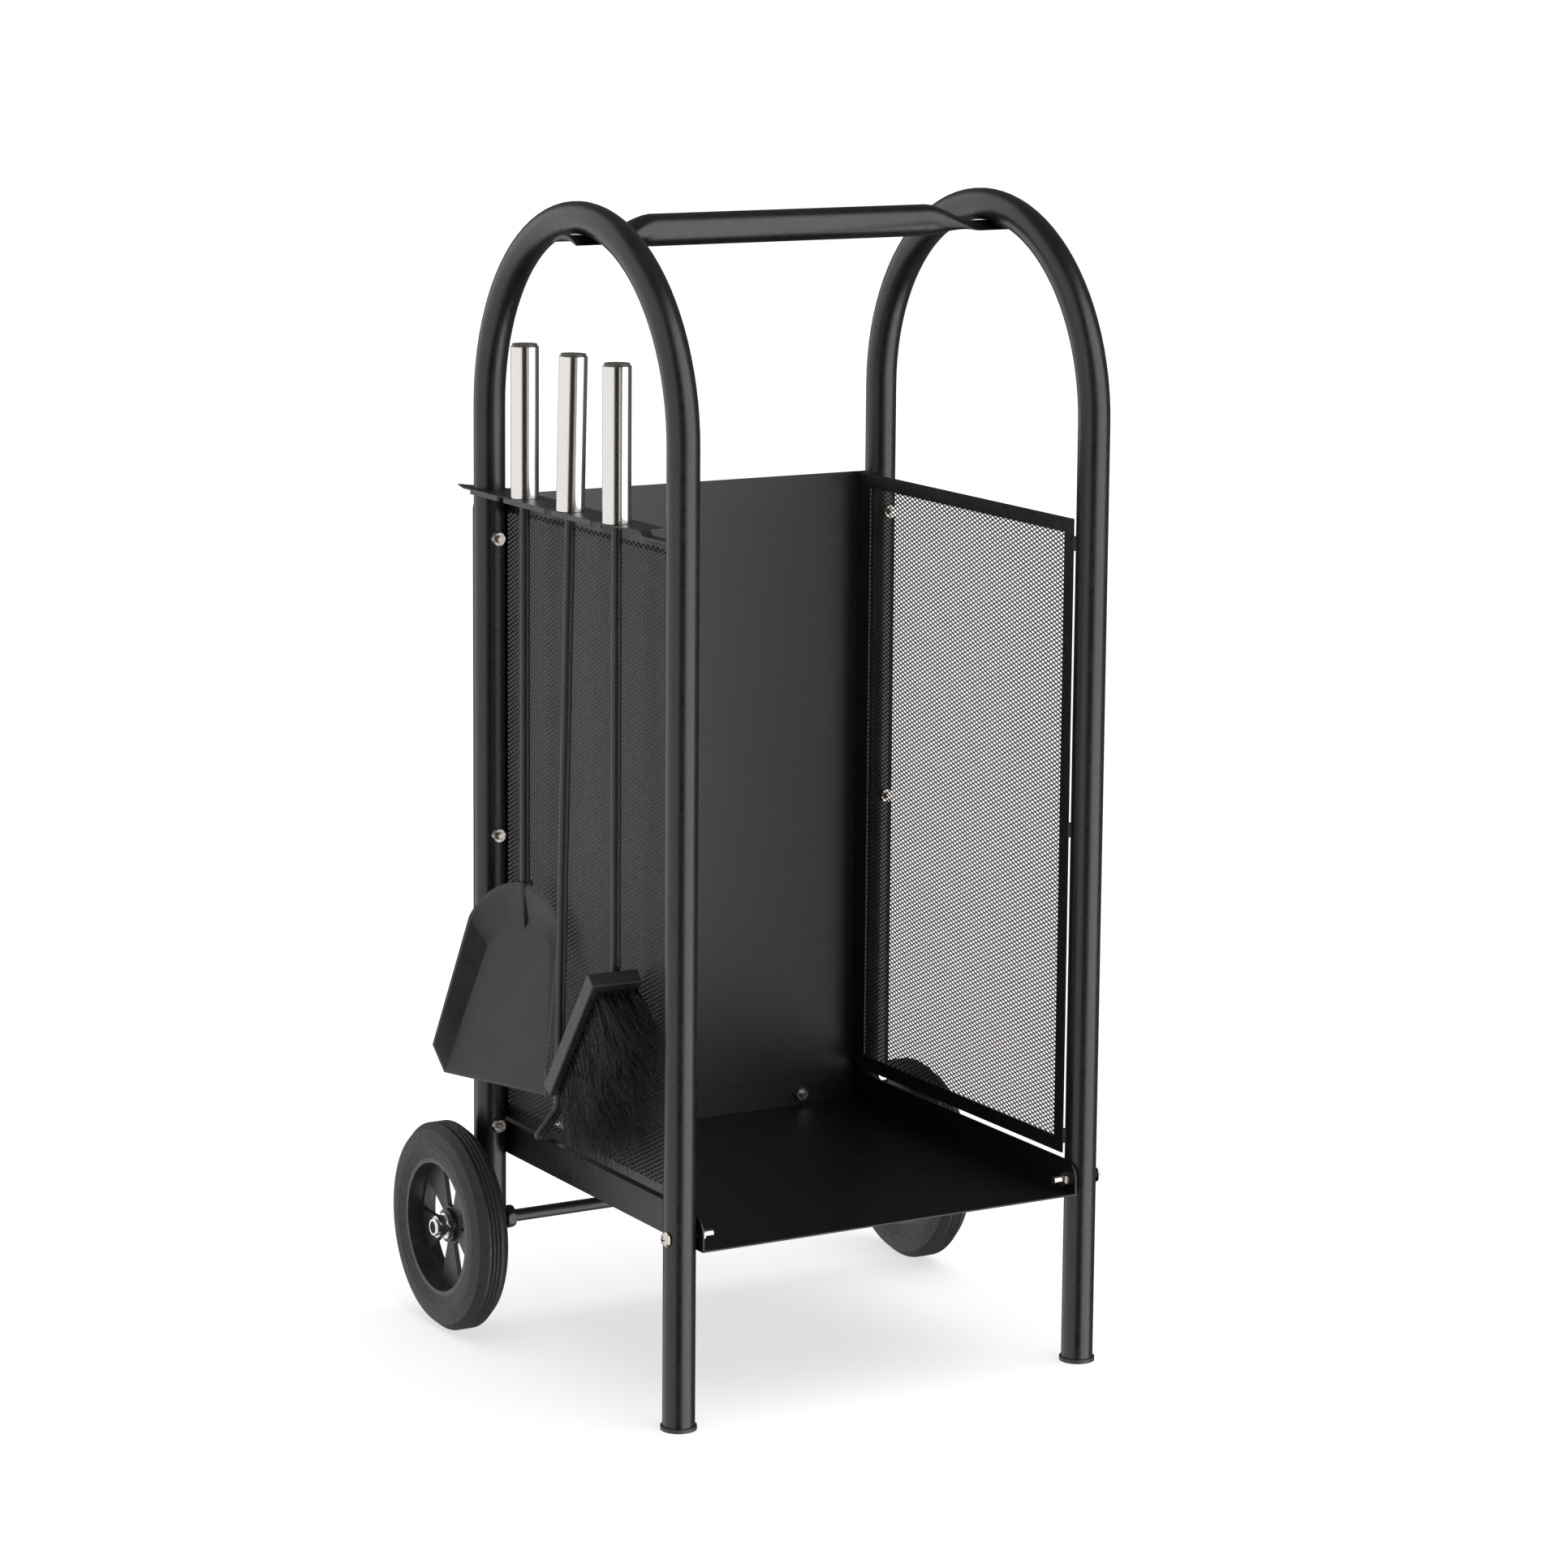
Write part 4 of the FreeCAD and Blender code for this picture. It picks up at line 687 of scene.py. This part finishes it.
def along_direction(direction):
    """How far the way looked at points along a direction."""
    dot = room_nodes.new("ShaderNodeVectorMath")
    dot.operation = "DOT_PRODUCT"
    dot.inputs[1].default_value = direction
    room_links.new(look.outputs["Generated"], dot.inputs[0])
    return dot.outputs["Value"]


look = room_nodes.new("ShaderNodeTexCoord")
ray = room_nodes.new("ShaderNodeLightPath")
facing = math.radians(FRONT_OF_ROOM)
to_front = (-math.sin(facing), -math.cos(facing), 0)
to_right = (math.cos(facing), -math.sin(facing), 0)
around = room_sum("ARCTAN2", along_direction(to_right), along_direction(to_front))
turns = room_sum("ADD", room_sum("DIVIDE", around, 2 * math.pi), 0.5)
boxes = room_nodes.new("ShaderNodeValToRGB")
room_links.new(turns, boxes.inputs["Fac"])
dark = DARK_WALL / BRIGHTEST_BOX
for end in boxes.color_ramp.elements:
    end.color = (dark, dark, dark, 1)
for angle, light in SOFT_BOXES:
    stop = boxes.color_ramp.elements.new(angle / 360 + 0.5)
    level = light / BRIGHTEST_BOX
    stop.color = (level, level, level, 1)
walls = room_sum("MULTIPLY", boxes.outputs["Color"], BRIGHTEST_BOX)
height = room_sum("ABSOLUTE", along_direction((0, 0, 1)), 0.0)
above = room_nodes.new("ShaderNodeMapRange")
above.interpolation_type = "SMOOTHSTEP"
above.inputs["From Min"].default_value = WALL_TOP
above.inputs["From Max"].default_value = CEILING_START
room_links.new(height, above.inputs["Value"])
wall_part = room_sum("MULTIPLY", walls, room_sum("SUBTRACT", 1.0, above.outputs["Result"]))
seen_in_gloss = room_sum("ADD", wall_part, room_sum("MULTIPLY", above.outputs["Result"], CEILING_LIGHT))
gloss_part = room_sum("MULTIPLY", ray.outputs["Is Glossy Ray"], seen_in_gloss)
plain_part = room_sum("MULTIPLY", room_sum("SUBTRACT", 1.0, ray.outputs["Is Glossy Ray"]), ROOM_LIGHT)
camera_part = room_sum("MULTIPLY", ray.outputs["Is Camera Ray"], BACKDROP_EXTRA)
brightness = room_sum("ADD", room_sum("ADD", gloss_part, plain_part), camera_part)
room_links.new(brightness, room_nodes["Background"].inputs["Strength"])
room_nodes["Background"].inputs["Color"].default_value = (1, 1, 1, 1)
bpy.context.scene.view_settings.view_transform = "Standard"

camera_data = bpy.data.cameras.new("camera")
camera_data.lens = CAMERA_LENS
camera_data.sensor_width = SENSOR_WIDTH
camera_data.shift_y = CAMERA_SHIFT
camera_data.clip_end = FARTHEST_SEEN
camera = bpy.data.objects.new("camera", camera_data)
camera.location = CAMERA_PLACE
camera.rotation_euler = [math.radians(turn) for turn in CAMERA_TURN]
bpy.context.scene.collection.objects.link(camera)
bpy.context.scene.camera = camera
